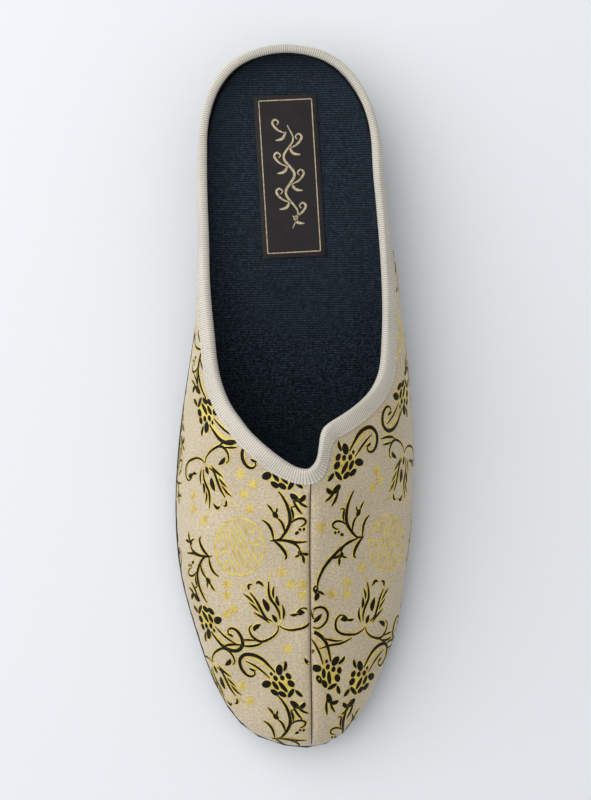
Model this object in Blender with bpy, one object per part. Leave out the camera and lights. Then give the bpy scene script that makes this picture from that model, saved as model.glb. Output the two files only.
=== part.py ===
"""Babouche slipper, left foot: a brocade upper on a low moulded sole.

Frame: +Y towards the heel, -Y towards the toe, -X the inner (big toe) side, +Z up.
The origin is on the floor under the middle of the slipper.
"""
import math

import bmesh
import bpy
import numpy as np
from mathutils import Vector
from mathutils.bvhtree import BVHTree

MM = 0.001

# Driving sizes
LENGTH = 255 * MM
BALL_WIDTH = 86 * MM
INSTEP_HEIGHT = 55 * MM
HEEL_SEAT_HEIGHT = 18 * MM
FOREPART_THICKNESS = 6 * MM
TOE_SPRING = 5 * MM
UPPER_WALL = 1.5 * MM
INSOLE_THICKNESS = 3 * MM
TAPE_THICKNESS = 0.6 * MM
TAPE_OUTER_LEG = 6 * MM
TAPE_INNER_LEG = 5 * MM
SOLE_RIM_HEIGHT = 2.4 * MM
SOLE_RIM_STEP = 0.7 * MM
SOLE_EDGE_RADIUS = 0.9 * MM
TREAD_MARGIN = 7 * MM
TREAD_DEPTH = 1.2 * MM
TREAD_GROOVE = 2.6 * MM
TREAD_SLOPE = 0.5 * MM
TREAD_PITCH = 9 * MM
SEAM_DEPTH = 0.9 * MM
PATCH_LENGTH = 59 * MM
PATCH_WIDTH = 23 * MM
PATCH_THICKNESS = 0.5 * MM
PATCH_ALONG = 0.180
PATCH_ACROSS = 0.002
PATCH_TURN = 2.2
INSOLE_EDGE = 0.8 * MM

# Stations, as shares of LENGTH from the heel
HEEL_BREAST = 0.262
HEEL_BREAST_RUN = 0.022
TREAD_ZONES = ((0.060, 0.225), (0.545, 0.900))
HEEL_SLOPE_START = 0.64
HEEL_SLOPE_RUN = 0.36
TOE_SPRING_START = 0.72
TOE_SPRING_POWER = 1.8
SEAM_START_RUN = 0.02
SEAM_END_RUN = 0.03
INSOLE_TOE_START = 0.90
INSOLE_TOE_RUN = 0.08

# Clearances
GAP = 0.3 * MM
TAPE_GAP = 0.48 * MM
FOLD_ROOM = 1.6
FOLD_DROP = 0.5
SOLE_MARGIN = 0.8 * MM
INSOLE_MARGIN = 0.7 * MM
INSOLE_TOE_SETBACK = 2.5 * MM

# From the middle of the outline to the middle of the whole slipper, where the origin is
MIDDLE_X = 0.25 * MM
MIDDLE_Y = 0.45 * MM

# Sides of the slipper, as signs of X
INNER, OUTER = -1, 1

# Mesh resolution
WELD = 0.02 * MM
UPPER_PITCH = 5.5 * MM
FINE_PITCH = 2.2 * MM
FINE_ZONE = (0.440, 0.606)
EDGE_ROWS = (0, 1.4 * MM, 3.4 * MM, 6.4 * MM)
EDGE_FRACTIONS = (0, 0.08, 0.20, 0.38)
LOWER_ROWS = 5
COLLAR_STEP = 0.5 * MM
COLLAR_SAMPLES = 440
TAPE_PITCH = 4 * MM
TAPE_FINE_PITCH = 1.8 * MM
TAPE_FINE_REACH = 46 * MM
SOLE_PITCH = 7 * MM
PATCH_ROWS = 8
NEAR_GROOVE = 3 * MM
SOLE_EDGE_LIMIT = 0.3
SOLE_SLOPE_LIMIT = 0.05
COLLAR_ROUNDS = 2
NORMAL_ROUNDS = 2
DOWN_ROUNDS = 3

# Plan outline of the feather line, where the upper meets the sole, anticlockwise from the toe tip.
# along: share of LENGTH from the heel. across: share of BALL_WIDTH, + on the outer side.
OUTLINE = (
    (1.000, 0.047),
    (0.992, 0.140),
    (0.965, 0.238),
    (0.913, 0.333),
    (0.833, 0.422),
    (0.754, 0.465),
    (0.675, 0.492),
    (0.590, 0.503),
    (0.490, 0.492),
    (0.380, 0.458),
    (0.270, 0.421),
    (0.170, 0.386),
    (0.104, 0.350),
    (0.050, 0.276),
    (0.014, 0.160),
    (0.000, 0.003),
    (0.014, -0.165),
    (0.050, -0.275),
    (0.104, -0.340),
    (0.180, -0.362),
    (0.270, -0.366),
    (0.350, -0.382),
    (0.430, -0.418),
    (0.520, -0.463),
    (0.610, -0.492),
    (0.690, -0.497),
    (0.750, -0.480),
    (0.820, -0.430),
    (0.890, -0.365),
    (0.945, -0.285),
    (0.978, -0.190),
    (0.995, -0.070),
)

# Line over the top of the last: the centre seam from the toe tip to the throat, then the instep behind it.
# along: share of LENGTH. across: share of BALL_WIDTH. height: share of INSTEP_HEIGHT.
SPINE = (
    (0.160, 0.000, 0.86),
    (0.300, 0.012, 0.92),
    (0.400, 0.020, 1.00),
    (0.480, 0.026, 1.075),
    (0.535, 0.029, 1.100),
    (0.560, 0.030, 1.070),
    (0.587, 0.030, 1.00),
    (0.610, 0.029, 0.965),
    (0.670, 0.028, 0.880),
    (0.740, 0.030, 0.775),
    (0.810, 0.033, 0.675),
    (0.880, 0.037, 0.580),
    (0.930, 0.041, 0.505),
    (0.970, 0.044, 0.420),
    (0.990, 0.046, 0.335),
    (0.9975, 0.0467, 0.265),
    (1.000, 0.047, 0.200),
)
THROAT_ALONG = 0.587

# Shape of the section line from the feather up to the spine, for each side.
# belly: how far it swells outwards, share of BALL_WIDTH. shoulder: height of that swell, share of the rise.
# crown: how far it runs level from the spine, share of the half width. roof: its drop there, share of the rise.
SECTIONS = {
    INNER: (
        # along, belly, shoulder, crown, roof
        (0.000, 0.050, 0.50, 0.70, 0.10),
        (0.036, 0.100, 0.50, 0.70, 0.10),
        (0.080, 0.110, 0.50, 0.70, 0.10),
        (0.160, 0.080, 0.50, 0.70, 0.10),
        (0.300, 0.080, 0.50, 0.70, 0.10),
        (0.420, 0.060, 0.50, 0.60, 0.20),
        (0.520, 0.045, 0.52, 0.50, 0.20),
        (0.587, 0.045, 0.54, 0.50, 0.09),
        (0.700, 0.045, 0.56, 0.52, 0.09),
        (0.850, 0.035, 0.58, 0.55, 0.07),
        (0.970, 0.010, 0.58, 0.55, 0.04),
        (1.000, 0.000, 0.58, 0.55, 0.00),
    ),
    OUTER: (
        (0.000, 0.050, 0.50, 0.70, 0.10),
        (0.040, 0.085, 0.50, 0.66, 0.11),
        (0.100, 0.075, 0.50, 0.60, 0.12),
        (0.190, 0.035, 0.50, 0.55, 0.16),
        (0.300, 0.045, 0.50, 0.50, 0.20),
        (0.420, 0.060, 0.50, 0.48, 0.22),
        (0.520, 0.065, 0.52, 0.46, 0.16),
        (0.587, 0.065, 0.54, 0.48, 0.08),
        (0.700, 0.060, 0.56, 0.52, 0.08),
        (0.850, 0.040, 0.58, 0.55, 0.07),
        (0.970, 0.010, 0.58, 0.55, 0.04),
        (1.000, 0.000, 0.58, 0.55, 0.00),
    ),
}

# Height of the collar above the floor, share of INSTEP_HEIGHT. The outer half stands up in a peak beside the throat.
COLLAR = {
    INNER: (
        # along, height
        (0.000, 0.510),
        (0.100, 0.516),
        (0.200, 0.540),
        (0.300, 0.585),
        (0.400, 0.650),
        (0.454, 0.700),
        (0.494, 0.765),
        (0.534, 0.870),
        (0.554, 0.925),
        (0.574, 0.972),
        (0.587, 1.000),
    ),
    OUTER: (
        (0.000, 0.510),
        (0.100, 0.516),
        (0.200, 0.545),
        (0.300, 0.600),
        (0.400, 0.672),
        (0.454, 0.735),
        (0.482, 0.805),
        (0.502, 0.890),
        (0.520, 0.990),
        (0.536, 1.060),
        (0.554, 1.056),
        (0.574, 1.016),
        (0.587, 1.000),
    ),
}


def smooth_loop(points, count):
    """count + 1 points, evenly spaced, on the closed cubic spline through these points."""
    knots = np.array(points + points[:1], float)
    steps = np.linalg.norm(np.diff(knots, axis=0) * (LENGTH, BALL_WIDTH), axis=1)
    size = len(steps)
    before = np.roll(steps, 1)
    slopes = np.diff(knots, axis=0) / steps[:, None]
    system = np.diag(2 * (before + steps))
    for i in range(size):
        system[i, i - 1] += before[i]
        system[i, (i + 1) % size] += steps[i]
    bends = np.linalg.solve(system, 6 * (slopes - np.roll(slopes, 1, axis=0)))
    line = []
    for i in range(size):
        bend, next_bend, step = bends[i], bends[(i + 1) % size], steps[i]
        for t in np.linspace(0, step, 60, endpoint=False):
            line.append(
                knots[i]
                + t * (slopes[i] - step * (2 * bend + next_bend) / 6)
                + t * t * bend / 2
                + t**3 * (next_bend - bend) / (6 * step)
            )
    line = np.array(line + line[:1])
    reach = np.linalg.norm(np.diff(line, axis=0) * (LENGTH, BALL_WIDTH), axis=1)
    reach = np.concatenate([[0], np.cumsum(reach)])
    even = np.linspace(0, reach[-1], count + 1)
    return np.column_stack([np.interp(even, reach, line[:, i]) for i in (0, 1)])


def smooth_row(rows, at):
    """The columns of a table at a value of its first column, by a cubic that never overshoots a row."""
    table = np.array(rows, float)
    x, y = table[:, 0], table[:, 1:]
    at = min(max(at, x[0]), x[-1])
    i = min(max(int(np.searchsorted(x, at)) - 1, 0), len(x) - 2)
    steps = np.diff(x)
    slopes = np.diff(y, axis=0) / steps[:, None]

    def tangent(n):
        if n == 0 or n == len(x) - 1:
            return slopes[min(n, len(slopes) - 1)]
        left, right = slopes[n - 1], slopes[n]
        same = left * right > 0
        weights = (2 * steps[n] + steps[n - 1], steps[n] + 2 * steps[n - 1])
        total = sum(weights)
        safe_left, safe_right = np.where(same, left, 1), np.where(same, right, 1)
        return np.where(same, total / (weights[0] / safe_left + weights[1] / safe_right), 0)

    h = steps[i]
    t = (at - x[i]) / h
    return (
        (1 + 2 * t) * (1 - t) ** 2 * y[i]
        + t * (1 - t) ** 2 * h * tangent(i)
        + t * t * (3 - 2 * t) * y[i + 1]
        + t * t * (t - 1) * h * tangent(i + 1)
    )


def place_at(along, across, height=0.0):
    """A point in the slipper's frame from its share of LENGTH, its share of BALL_WIDTH and its height."""
    return Vector((across * BALL_WIDTH - MIDDLE_X, (0.5 - along) * LENGTH - MIDDLE_Y, height))


def outline_halves():
    """Each side's half of the outline with its outward directions, in metres, from the toe tip to the heel."""
    loop = smooth_loop(OUTLINE, 1440)[:-1]
    loop = np.roll(loop, -int(np.argmax(loop[:, 0])), axis=0)
    loop[:, 0] = (loop[:, 0] - loop[:, 0].min()) / (loop[:, 0].max() - loop[:, 0].min())
    heel = int(np.argmin(loop[:, 0]))
    points = np.array([place_at(along, across)[:2] for along, across in loop])
    tangents = np.roll(points, -4, axis=0) - np.roll(points, 4, axis=0)
    normals = np.column_stack([tangents[:, 1], -tangents[:, 0]])
    normals /= np.linalg.norm(normals, axis=1)[:, None]
    normals[0], normals[heel] = (0, -1), (0, 1)
    table = np.column_stack([loop[:, 0], points, normals])
    closed = np.vstack([table, table[:1]])
    return {OUTER: table[: heel + 1], INNER: closed[heel:][::-1]}


HALVES = outline_halves()


def smooth_step(value):
    t = min(max(value, 0.0), 1.0)
    return t * t * (3 - 2 * t)


def sole_top(along):
    """Height of the top of the sole, which the upper and the insole follow."""
    raised = smooth_step((HEEL_SLOPE_START - along) / HEEL_SLOPE_RUN)
    seat = HEEL_SEAT_HEIGHT * raised + FOREPART_THICKNESS * (1 - raised)
    toe = max(0.0, (along - TOE_SPRING_START) / (1 - TOE_SPRING_START))
    return seat + TOE_SPRING * toe**TOE_SPRING_POWER


def plan_point(side, along, outset=0.0):
    """The feather line at a station, seen from above, moved outwards by outset."""
    half = HALVES[side][::-1]
    x, y, normal_x, normal_y = (np.interp(along, half[:, 0], half[:, column]) for column in (1, 2, 3, 4))
    return Vector((x + outset * normal_x, y + outset * normal_y, 0))


def spine_point(along):
    along = max(along, SPINE[0][0])
    across, height = smooth_row(SPINE, along)
    lift = max(height * INSTEP_HEIGHT, sole_top(1) + GAP)
    return place_at(along, across, lift)


def section_handles(side, along):
    """The four points of the section line on one side at a station, from the feather to the spine."""
    foot = plan_point(side, along)
    foot.z = sole_top(along) + GAP
    spine = spine_point(along) if along < 1 else foot
    inwards = Vector((spine.x - foot.x, spine.y - foot.y, 0))
    rise = spine.z - foot.z
    belly, shoulder, crown, roof = smooth_row(SECTIONS[side], along)
    outwards = -inwards.normalized() if inwards.length > 0 else Vector((side, 0, 0))
    low = foot + outwards * belly * BALL_WIDTH + Vector((0, 0, shoulder * rise))
    high = spine - inwards * crown - Vector((0, 0, roof * rise))
    return foot, low, high, spine


def section_point(handles, share):
    a, b, c, d = handles
    rest = 1 - share
    return a * rest**3 + b * 3 * rest * rest * share + c * 3 * rest * share * share + d * share**3


def collar_share(side, along, handles):
    """How far up its section line the upper reaches: to the seam in the vamp, to the collar behind it."""
    if along >= THROAT_ALONG:
        return 1.0
    height = float(smooth_row(COLLAR[side], along)[0]) * INSTEP_HEIGHT
    low, high = 0.0, 1.0
    for _ in range(40):
        middle = (low + high) / 2
        if section_point(handles, middle).z < height:
            low = middle
        else:
            high = middle
    return (low + high) / 2


def section_lengths(handles, top_share, count=80):
    """Shares and distances along a section line, measured from its upper end down to the feather."""
    shares = np.linspace(top_share, 0, count + 1)
    points = np.array([section_point(handles, share) for share in shares])
    steps = np.linalg.norm(np.diff(points, axis=0), axis=1)
    return shares, np.concatenate([[0], np.cumsum(steps)])


def strip_shares(side, along):
    """Shares of one strip of the upper, from its upper edge to the feather, finer beside the edge."""
    handles = section_handles(side, along)
    shares, reach = section_lengths(handles, collar_share(side, along, handles))
    near = [min(distance, reach[-1] * fraction) for distance, fraction in zip(EDGE_ROWS, EDGE_FRACTIONS)]
    below = np.linspace(near[-1], reach[-1], LOWER_ROWS + 1)[1:]
    return handles, np.interp(near + list(below), reach, shares)


def even_stations(pitch):
    """Stations from the toe tip to the heel, evenly spaced round the outer half of the outline."""
    half = HALVES[OUTER]
    steps = np.linalg.norm(np.diff(half[:, 1:3], axis=0), axis=1)
    reach = np.concatenate([[0], np.cumsum(steps)])
    count = round(reach[-1] / pitch)
    stations = np.interp(np.linspace(0, reach[-1], count + 1), reach, half[:, 0])
    stations[0], stations[-1] = 1.0, 0.0
    return [float(along) for along in stations]


def upper_stations():
    """Stations of the upper's strips, closer together where the collar turns across the instep."""
    low, high = FINE_ZONE
    coarse = [along for along in even_stations(UPPER_PITCH) if not low < along < high]
    fine = list(np.linspace(high, THROAT_ALONG, 4)[:-1])
    count = round((THROAT_ALONG - low) * LENGTH / FINE_PITCH)
    fine += list(np.linspace(THROAT_ALONG, low, count + 1))
    return sorted(set(coarse + fine), reverse=True)


def make_object(name, bm, colour, roughness):
    """An object of this mesh with its own plain material, shaded smooth with sharp edges kept."""
    bmesh.ops.recalc_face_normals(bm, faces=bm.faces)
    mesh = bpy.data.meshes.new(name)
    bm.to_mesh(mesh)
    bm.free()
    mesh.shade_smooth()
    mesh.set_sharp_from_angle(angle=math.radians(40))
    material = bpy.data.materials.new(name)
    material.use_nodes = True
    shader = material.node_tree.nodes["Principled BSDF"]
    shader.inputs["Base Color"].default_value = (*colour, 1)
    shader.inputs["Roughness"].default_value = roughness
    shader.inputs["Metallic"].default_value = 0
    mesh.materials.append(material)
    piece = bpy.data.objects.new(name, mesh)
    bpy.context.scene.collection.objects.link(piece)
    return piece


def sheet_of(rows):
    """A bmesh of quads over a table of points: a grid whose corners are placed, then welded where they meet."""
    bm = bmesh.new()
    across, along = len(rows[0]), len(rows)
    bmesh.ops.create_grid(bm, x_segments=across - 1, y_segments=along - 1, size=1)
    bm.verts.ensure_lookup_table()
    for j, row in enumerate(rows):
        for i, point in enumerate(row):
            bm.verts[j * across + i].co = point
    bmesh.ops.remove_doubles(bm, verts=bm.verts, dist=WELD)
    return bm


def tube_of(loops):
    """A closed body through a row of closed loops whose two ends are folded flat."""
    return sheet_of([loop + loop[:1] for loop in loops])


def upper_sheet():
    """The outer face of the upper, from the toe tip round the outer side, the heel and the inner side."""
    stations = upper_stations()
    strips = [(OUTER, along) for along in stations] + [(INNER, along) for along in stations[-2::-1]]
    rows = []
    for side, along in strips:
        handles, shares = strip_shares(side, along)
        points = [section_point(handles, share) for share in shares]
        started = smooth_step((along - THROAT_ALONG - TAPE_OUTER_LEG / LENGTH) / SEAM_START_RUN)
        depth = SEAM_DEPTH * started * smooth_step((1 - along) / SEAM_END_RUN)
        points[0] = points[0] - Vector((0, 0, depth))
        rows.append(points)
    return sheet_of(rows)


def build_upper(bm):
    piece = make_object("upper", bm, (0.80, 0.74, 0.62), 0.55)
    wall = piece.modifiers.new("wall", "SOLIDIFY")
    wall.thickness = UPPER_WALL
    wall.offset = -1
    wall.use_rim = True
    return piece


def even_ring(points, count):
    """This many points evenly spaced round the closed line through these points."""
    closed = np.vstack([points, points[:1]])
    reach = np.concatenate([[0], np.cumsum(np.linalg.norm(np.diff(closed, axis=0), axis=1))])
    even = np.linspace(0, reach[-1], count, endpoint=False)
    return np.column_stack([np.interp(even, reach, closed[:, i]) for i in range(3)])


def collar_loop():
    """Points evenly spaced on the collar, from the throat round the outer side and the heel back to it."""
    stations = [THROAT_ALONG] + [along for along in even_stations(COLLAR_STEP) if along < THROAT_ALONG]
    track = [(OUTER, along) for along in stations] + [(INNER, along) for along in stations[-2:0:-1]]
    points = []
    for side, along in track:
        handles = section_handles(side, along)
        points.append(section_point(handles, collar_share(side, along, handles)))
    points = even_ring(np.array(points), COLLAR_SAMPLES)
    for _ in range(COLLAR_ROUNDS):
        points = points / 2 + (np.roll(points, 1, axis=0) + np.roll(points, -1, axis=0)) / 4
    points = np.vstack([points, points[:1]])
    reach = np.concatenate([[0], np.cumsum(np.linalg.norm(np.diff(points, axis=0), axis=1))])
    near, far = TAPE_FINE_REACH, reach[-1] - TAPE_FINE_REACH
    stops = [
        np.linspace(0, near, round(near / TAPE_FINE_PITCH) + 1)[:-1],
        np.linspace(near, far, round((far - near) / TAPE_PITCH) + 1)[:-1],
        np.linspace(far, reach[-1], round(near / TAPE_FINE_PITCH) + 1)[:-1],
    ]
    return [Vector([np.interp(at, reach, points[:, i]) for i in range(3)]) for at in np.concatenate(stops)]


def smooth_ring(vectors, rounds):
    """Unit vectors round a ring, each blended with its neighbours."""
    for _ in range(rounds):
        vectors = [
            (vectors[i - 1] + 2 * vector + vectors[(i + 1) % len(vectors)]).normalized()
            for i, vector in enumerate(vectors)
        ]
    return vectors


def build_collar_binding(sheet):
    """A folded tape over the collar edge: a leg outside, a leg inside and the fold between them."""
    surface = BVHTree.FromBMesh(sheet)
    ring = collar_loop()
    count = len(ring)
    normals = smooth_ring([surface.find_nearest(point)[1] for point in ring], NORMAL_ROUNDS)
    normals = [normal if normal.z > -0.5 else -normal for normal in normals]
    downs = []
    for i, (point, normal) in enumerate(zip(ring, normals)):
        tangent = ring[(i + 1) % count] - ring[i - 1]
        downs.append(tangent.cross(normal).normalized())
    downs = smooth_ring(downs, DOWN_ROUNDS)
    rows = []
    for point, normal, down in zip(ring, normals, downs):
        skins = []
        for skin in (TAPE_GAP, TAPE_GAP + TAPE_THICKNESS):
            legs = {}
            for leg, lift in ((TAPE_OUTER_LEG, skin), (TAPE_INNER_LEG, -UPPER_WALL - skin)):
                legs[leg] = []
                for share in (1, 0.5):
                    place, facing = follow(surface, point, down, leg * share)
                    legs[leg].append(place + facing * lift)
            fold = [
                point + normal * skin - down * skin * FOLD_DROP,
                point - normal * UPPER_WALL / 2 - down * skin * FOLD_ROOM,
                point - normal * (UPPER_WALL + skin) - down * skin * FOLD_DROP,
            ]
            skins.append(legs[TAPE_OUTER_LEG] + fold + legs[TAPE_INNER_LEG][::-1])
        loop = skins[1] + skins[0][::-1]
        rows.append(loop + loop[:1])
    return make_object("collar_binding", sheet_of(rows + rows[:1]), (0.78, 0.74, 0.66), 0.8)


def follow(surface, start, direction, distance):
    """The place this far from start over a surface, heading this way, with the surface's normal there."""
    target = start + direction * distance
    for _ in range(3):
        place, normal, _, _ = surface.find_nearest(target)
        target = start + (place - start).normalized() * distance
    return place, normal


def sole_bottom(along):
    """Height of the underside: heel block, breast, shank and forepart with its toe spring."""
    shank = sole_top(along) - FOREPART_THICKNESS
    return shank * smooth_step((along - HEEL_BREAST) / HEEL_BREAST_RUN)


def sole_stations():
    """Stations of the sole with four for every groove of the tread, and whether each is in a groove."""
    grooves = []
    for start, end in TREAD_ZONES:
        count = int((end - start) * LENGTH / TREAD_PITCH)
        for i in range(count + 1):
            middle = start + (end - start) * i / count
            half, slope = TREAD_GROOVE / 2 / LENGTH, TREAD_SLOPE / LENGTH
            grooves += [(middle - half, False), (middle - half + slope, True)]
            grooves += [(middle + half - slope, True), (middle + half, False)]
    plain = [HEEL_BREAST, HEEL_BREAST + HEEL_BREAST_RUN * 0.5, HEEL_BREAST + HEEL_BREAST_RUN]
    near = NEAR_GROOVE / LENGTH
    taken = [along for along, _ in grooves] + plain
    plain += [along for along in even_stations(SOLE_PITCH) if min(abs(along - other) for other in taken) > near]
    plain += [1.0, 0.0]
    return sorted(set(grooves + [(along, False) for along in plain]))


def between(start, end, height, distances):
    """Points at a height between two ends, at distances from start."""
    span = end - start
    span.z = 0
    points = []
    for distance in distances:
        point = start + span * distance
        point.z = height(distance)
        points.append(point)
    return points


def sole_loop(along, grooved):
    """One closed section of the sole: top, outer side, underside, inner side."""
    top, bottom = sole_top(along), sole_bottom(along)
    waist = SOLE_MARGIN - SOLE_RIM_STEP
    profile = (
        (SOLE_MARGIN, top),
        (SOLE_MARGIN, top - SOLE_RIM_HEIGHT),
        (waist, top - SOLE_RIM_HEIGHT - SOLE_RIM_STEP / 2),
        (waist, bottom + SOLE_EDGE_RADIUS),
        (waist - SOLE_EDGE_RADIUS, bottom),
    )
    sides = {}
    for side in (OUTER, INNER):
        sides[side] = []
        for outset, height in profile:
            point = plan_point(side, along, outset)
            point.z = height
            sides[side].append(point)
    outer, inner = sides[OUTER][-1], sides[INNER][-1]
    width = (outer - inner).length
    edge = min(TREAD_MARGIN / max(width, WELD), SOLE_EDGE_LIMIT)
    slope = min(TREAD_SLOPE / max(width, WELD), SOLE_SLOPE_LIMIT)
    depth = TREAD_DEPTH if grooved else 0.0

    def underside(share):
        return bottom + (depth if edge < share < 1 - edge else 0.0)

    shares = [edge, edge + slope, 1 - edge - slope, 1 - edge]
    under = between(outer, inner, underside, shares)
    upper_side = between(sides[INNER][0], sides[OUTER][0], lambda share: top, (0.33, 0.67))
    return sides[OUTER] + under + sides[INNER][::-1] + upper_side


def build_outsole():
    loops = [sole_loop(along, grooved) for along, grooved in sole_stations()]
    return make_object("outsole", tube_of(loops), (0.02, 0.02, 0.022), 0.6)


def insole_top(along):
    return sole_top(along) + GAP + INSOLE_THICKNESS


def build_insole():
    loops = []
    for along in even_stations(SOLE_PITCH):
        inset = UPPER_WALL + INSOLE_MARGIN + INSOLE_TOE_SETBACK * smooth_step((along - INSOLE_TOE_START) / INSOLE_TOE_RUN)
        under, over = sole_top(along) + GAP, insole_top(along)
        rims = {}
        for side in (OUTER, INNER):
            rims[side] = [plan_point(side, along, -inset - pull) for pull in (0, 0, INSOLE_EDGE)]
            for point, height in zip(rims[side], (under, over - INSOLE_EDGE, over)):
                point.z = height
        across_top = between(rims[INNER][2], rims[OUTER][2], lambda share: over, (0.25, 0.5, 0.75))
        across_bottom = between(rims[OUTER][0], rims[INNER][0], lambda share: under, (0.33, 0.67))
        loops.append(rims[OUTER][::-1] + across_bottom + rims[INNER] + across_top)
    return make_object("insole", tube_of(loops), (0.015, 0.017, 0.03), 0.95)


def build_label_patch():
    """A thin plate on the heel of the insole."""
    rows = []
    for i in range(PATCH_ROWS + 1):
        y = (i / PATCH_ROWS - 0.5) * PATCH_LENGTH
        row = []
        for x in (-PATCH_WIDTH / 2, 0, PATCH_WIDTH / 2):
            turn = math.radians(PATCH_TURN)
            place = Vector((x * math.cos(turn) - y * math.sin(turn), x * math.sin(turn) + y * math.cos(turn), 0))
            place += place_at(PATCH_ALONG, PATCH_ACROSS)
            place.z = insole_top(0.5 - (place.y + MIDDLE_Y) / LENGTH) + GAP + PATCH_THICKNESS
            row.append(place)
        rows.append(row)
    piece = make_object("label_patch", sheet_of(rows), (0.05, 0.03, 0.02), 0.6)
    plate = piece.modifiers.new("plate", "SOLIDIFY")
    plate.thickness = PATCH_THICKNESS
    plate.offset = -1
    return piece


def build():
    for piece in list(bpy.data.objects):
        bpy.data.objects.remove(piece)
    sheet = upper_sheet()
    bmesh.ops.recalc_face_normals(sheet, faces=sheet.faces)
    build_collar_binding(sheet)
    build_upper(sheet)
    build_outsole()
    build_insole()
    build_label_patch()


build()
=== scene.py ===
"""Babouche slipper, left foot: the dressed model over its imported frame.

Frame: +Y towards the heel, -Y towards the toe, -X the inner side, +X the outer side, +Z up, in metres.
"""
import math

import bmesh
import bpy
import numpy as np
from mathutils import Matrix, Vector
from mathutils.bvhtree import BVHTree


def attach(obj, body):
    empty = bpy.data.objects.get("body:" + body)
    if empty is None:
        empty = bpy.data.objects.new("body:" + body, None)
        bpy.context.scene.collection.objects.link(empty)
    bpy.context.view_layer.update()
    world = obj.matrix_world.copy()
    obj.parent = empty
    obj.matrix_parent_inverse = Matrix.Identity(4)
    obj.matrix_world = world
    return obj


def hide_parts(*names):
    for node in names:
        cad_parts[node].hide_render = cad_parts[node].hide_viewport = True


bl_info = {
    "name": "Babouche slipper",
    "version": (1, 0, 0),
    "blender": (4, 5, 0),
    "location": "3D View > Sidebar > Slipper",
    "description": "Builds a brocade slipper with its collar tape, insole, patch and sole",
    "category": "Object",
}

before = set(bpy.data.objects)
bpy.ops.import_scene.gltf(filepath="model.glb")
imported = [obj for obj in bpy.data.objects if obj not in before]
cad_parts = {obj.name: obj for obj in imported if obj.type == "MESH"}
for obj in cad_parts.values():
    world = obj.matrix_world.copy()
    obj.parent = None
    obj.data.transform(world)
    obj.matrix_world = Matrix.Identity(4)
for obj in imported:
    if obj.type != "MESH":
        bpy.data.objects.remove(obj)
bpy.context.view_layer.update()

MM = 0.001
BODY = "root"
INNER, OUTER = -1, 1

# Plan outline of the feather line, anticlockwise from the toe tip, as shares of the length and the ball width
OUTLINE = (
    (1.000, 0.047), (0.992, 0.140), (0.965, 0.238), (0.913, 0.333), (0.833, 0.422), (0.754, 0.465),
    (0.675, 0.492), (0.590, 0.503), (0.490, 0.492), (0.380, 0.458), (0.270, 0.421), (0.170, 0.386),
    (0.104, 0.350), (0.050, 0.276), (0.014, 0.160), (0.000, 0.003), (0.014, -0.165), (0.050, -0.275),
    (0.104, -0.340), (0.180, -0.362), (0.270, -0.366), (0.350, -0.382), (0.430, -0.418), (0.520, -0.463),
    (0.610, -0.492), (0.690, -0.497), (0.750, -0.480), (0.820, -0.430), (0.890, -0.365), (0.945, -0.285),
    (0.978, -0.190), (0.995, -0.070),
)

# Line over the top of the last: along, across, height as shares of length, ball width and instep height
SPINE = (
    (0.160, 0.000, 0.86), (0.300, 0.012, 0.92), (0.400, 0.020, 1.00), (0.480, 0.026, 1.075),
    (0.535, 0.029, 1.100), (0.560, 0.030, 1.070), (0.587, 0.030, 1.00), (0.610, 0.029, 0.965),
    (0.670, 0.028, 0.880), (0.740, 0.030, 0.775), (0.810, 0.033, 0.675), (0.880, 0.037, 0.580),
    (0.930, 0.041, 0.505), (0.970, 0.044, 0.420), (0.990, 0.046, 0.335), (0.9975, 0.0467, 0.265),
    (1.000, 0.047, 0.200),
)
THROAT_ALONG = 0.595

# Section line of each side: along, belly, shoulder, crown, roof
SECTIONS = {
    INNER: (
        (0.000, 0.050, 0.50, 0.70, 0.10), (0.036, 0.100, 0.50, 0.70, 0.10),
        (0.080, 0.110, 0.50, 0.70, 0.10), (0.160, 0.080, 0.50, 0.70, 0.10),
        (0.300, 0.080, 0.50, 0.70, 0.10), (0.420, 0.060, 0.50, 0.60, 0.20),
        (0.520, 0.045, 0.52, 0.50, 0.20), (0.587, 0.045, 0.54, 0.50, 0.09),
        (0.700, 0.045, 0.56, 0.52, 0.09), (0.850, 0.035, 0.58, 0.55, 0.07),
        (0.970, 0.010, 0.58, 0.55, 0.04), (1.000, 0.000, 0.58, 0.55, 0.00),
    ),
    OUTER: (
        (0.000, 0.050, 0.50, 0.70, 0.10), (0.040, 0.085, 0.50, 0.66, 0.11),
        (0.100, 0.075, 0.50, 0.60, 0.12), (0.190, 0.035, 0.50, 0.55, 0.16),
        (0.300, 0.045, 0.50, 0.50, 0.20), (0.420, 0.060, 0.50, 0.48, 0.22),
        (0.520, 0.065, 0.52, 0.46, 0.16), (0.587, 0.065, 0.54, 0.48, 0.08),
        (0.700, 0.060, 0.56, 0.52, 0.08), (0.850, 0.040, 0.58, 0.55, 0.07),
        (0.970, 0.010, 0.58, 0.55, 0.04), (1.000, 0.000, 0.58, 0.55, 0.00),
    ),
}

# Height of the collar above the floor as a share of the instep height
COLLAR = {
    INNER: (
        (0.000, 0.510), (0.100, 0.516), (0.200, 0.540), (0.300, 0.585), (0.400, 0.650), (0.454, 0.700),
        (0.494, 0.765), (0.540, 0.893), (0.556, 0.937), (0.567, 0.955), (0.577, 0.960), (0.585, 0.962),
        (0.592, 0.968), (0.595, 0.988),
    ),
    OUTER: (
        (0.000, 0.510), (0.100, 0.516), (0.200, 0.545), (0.300, 0.600), (0.400, 0.672), (0.454, 0.735),
        (0.482, 0.805), (0.502, 0.890), (0.520, 0.984), (0.531, 1.041), (0.537, 1.061), (0.546, 1.063),
        (0.556, 1.053), (0.566, 1.039), (0.577, 1.011), (0.588, 0.990), (0.595, 0.988),
    ),
}

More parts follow.
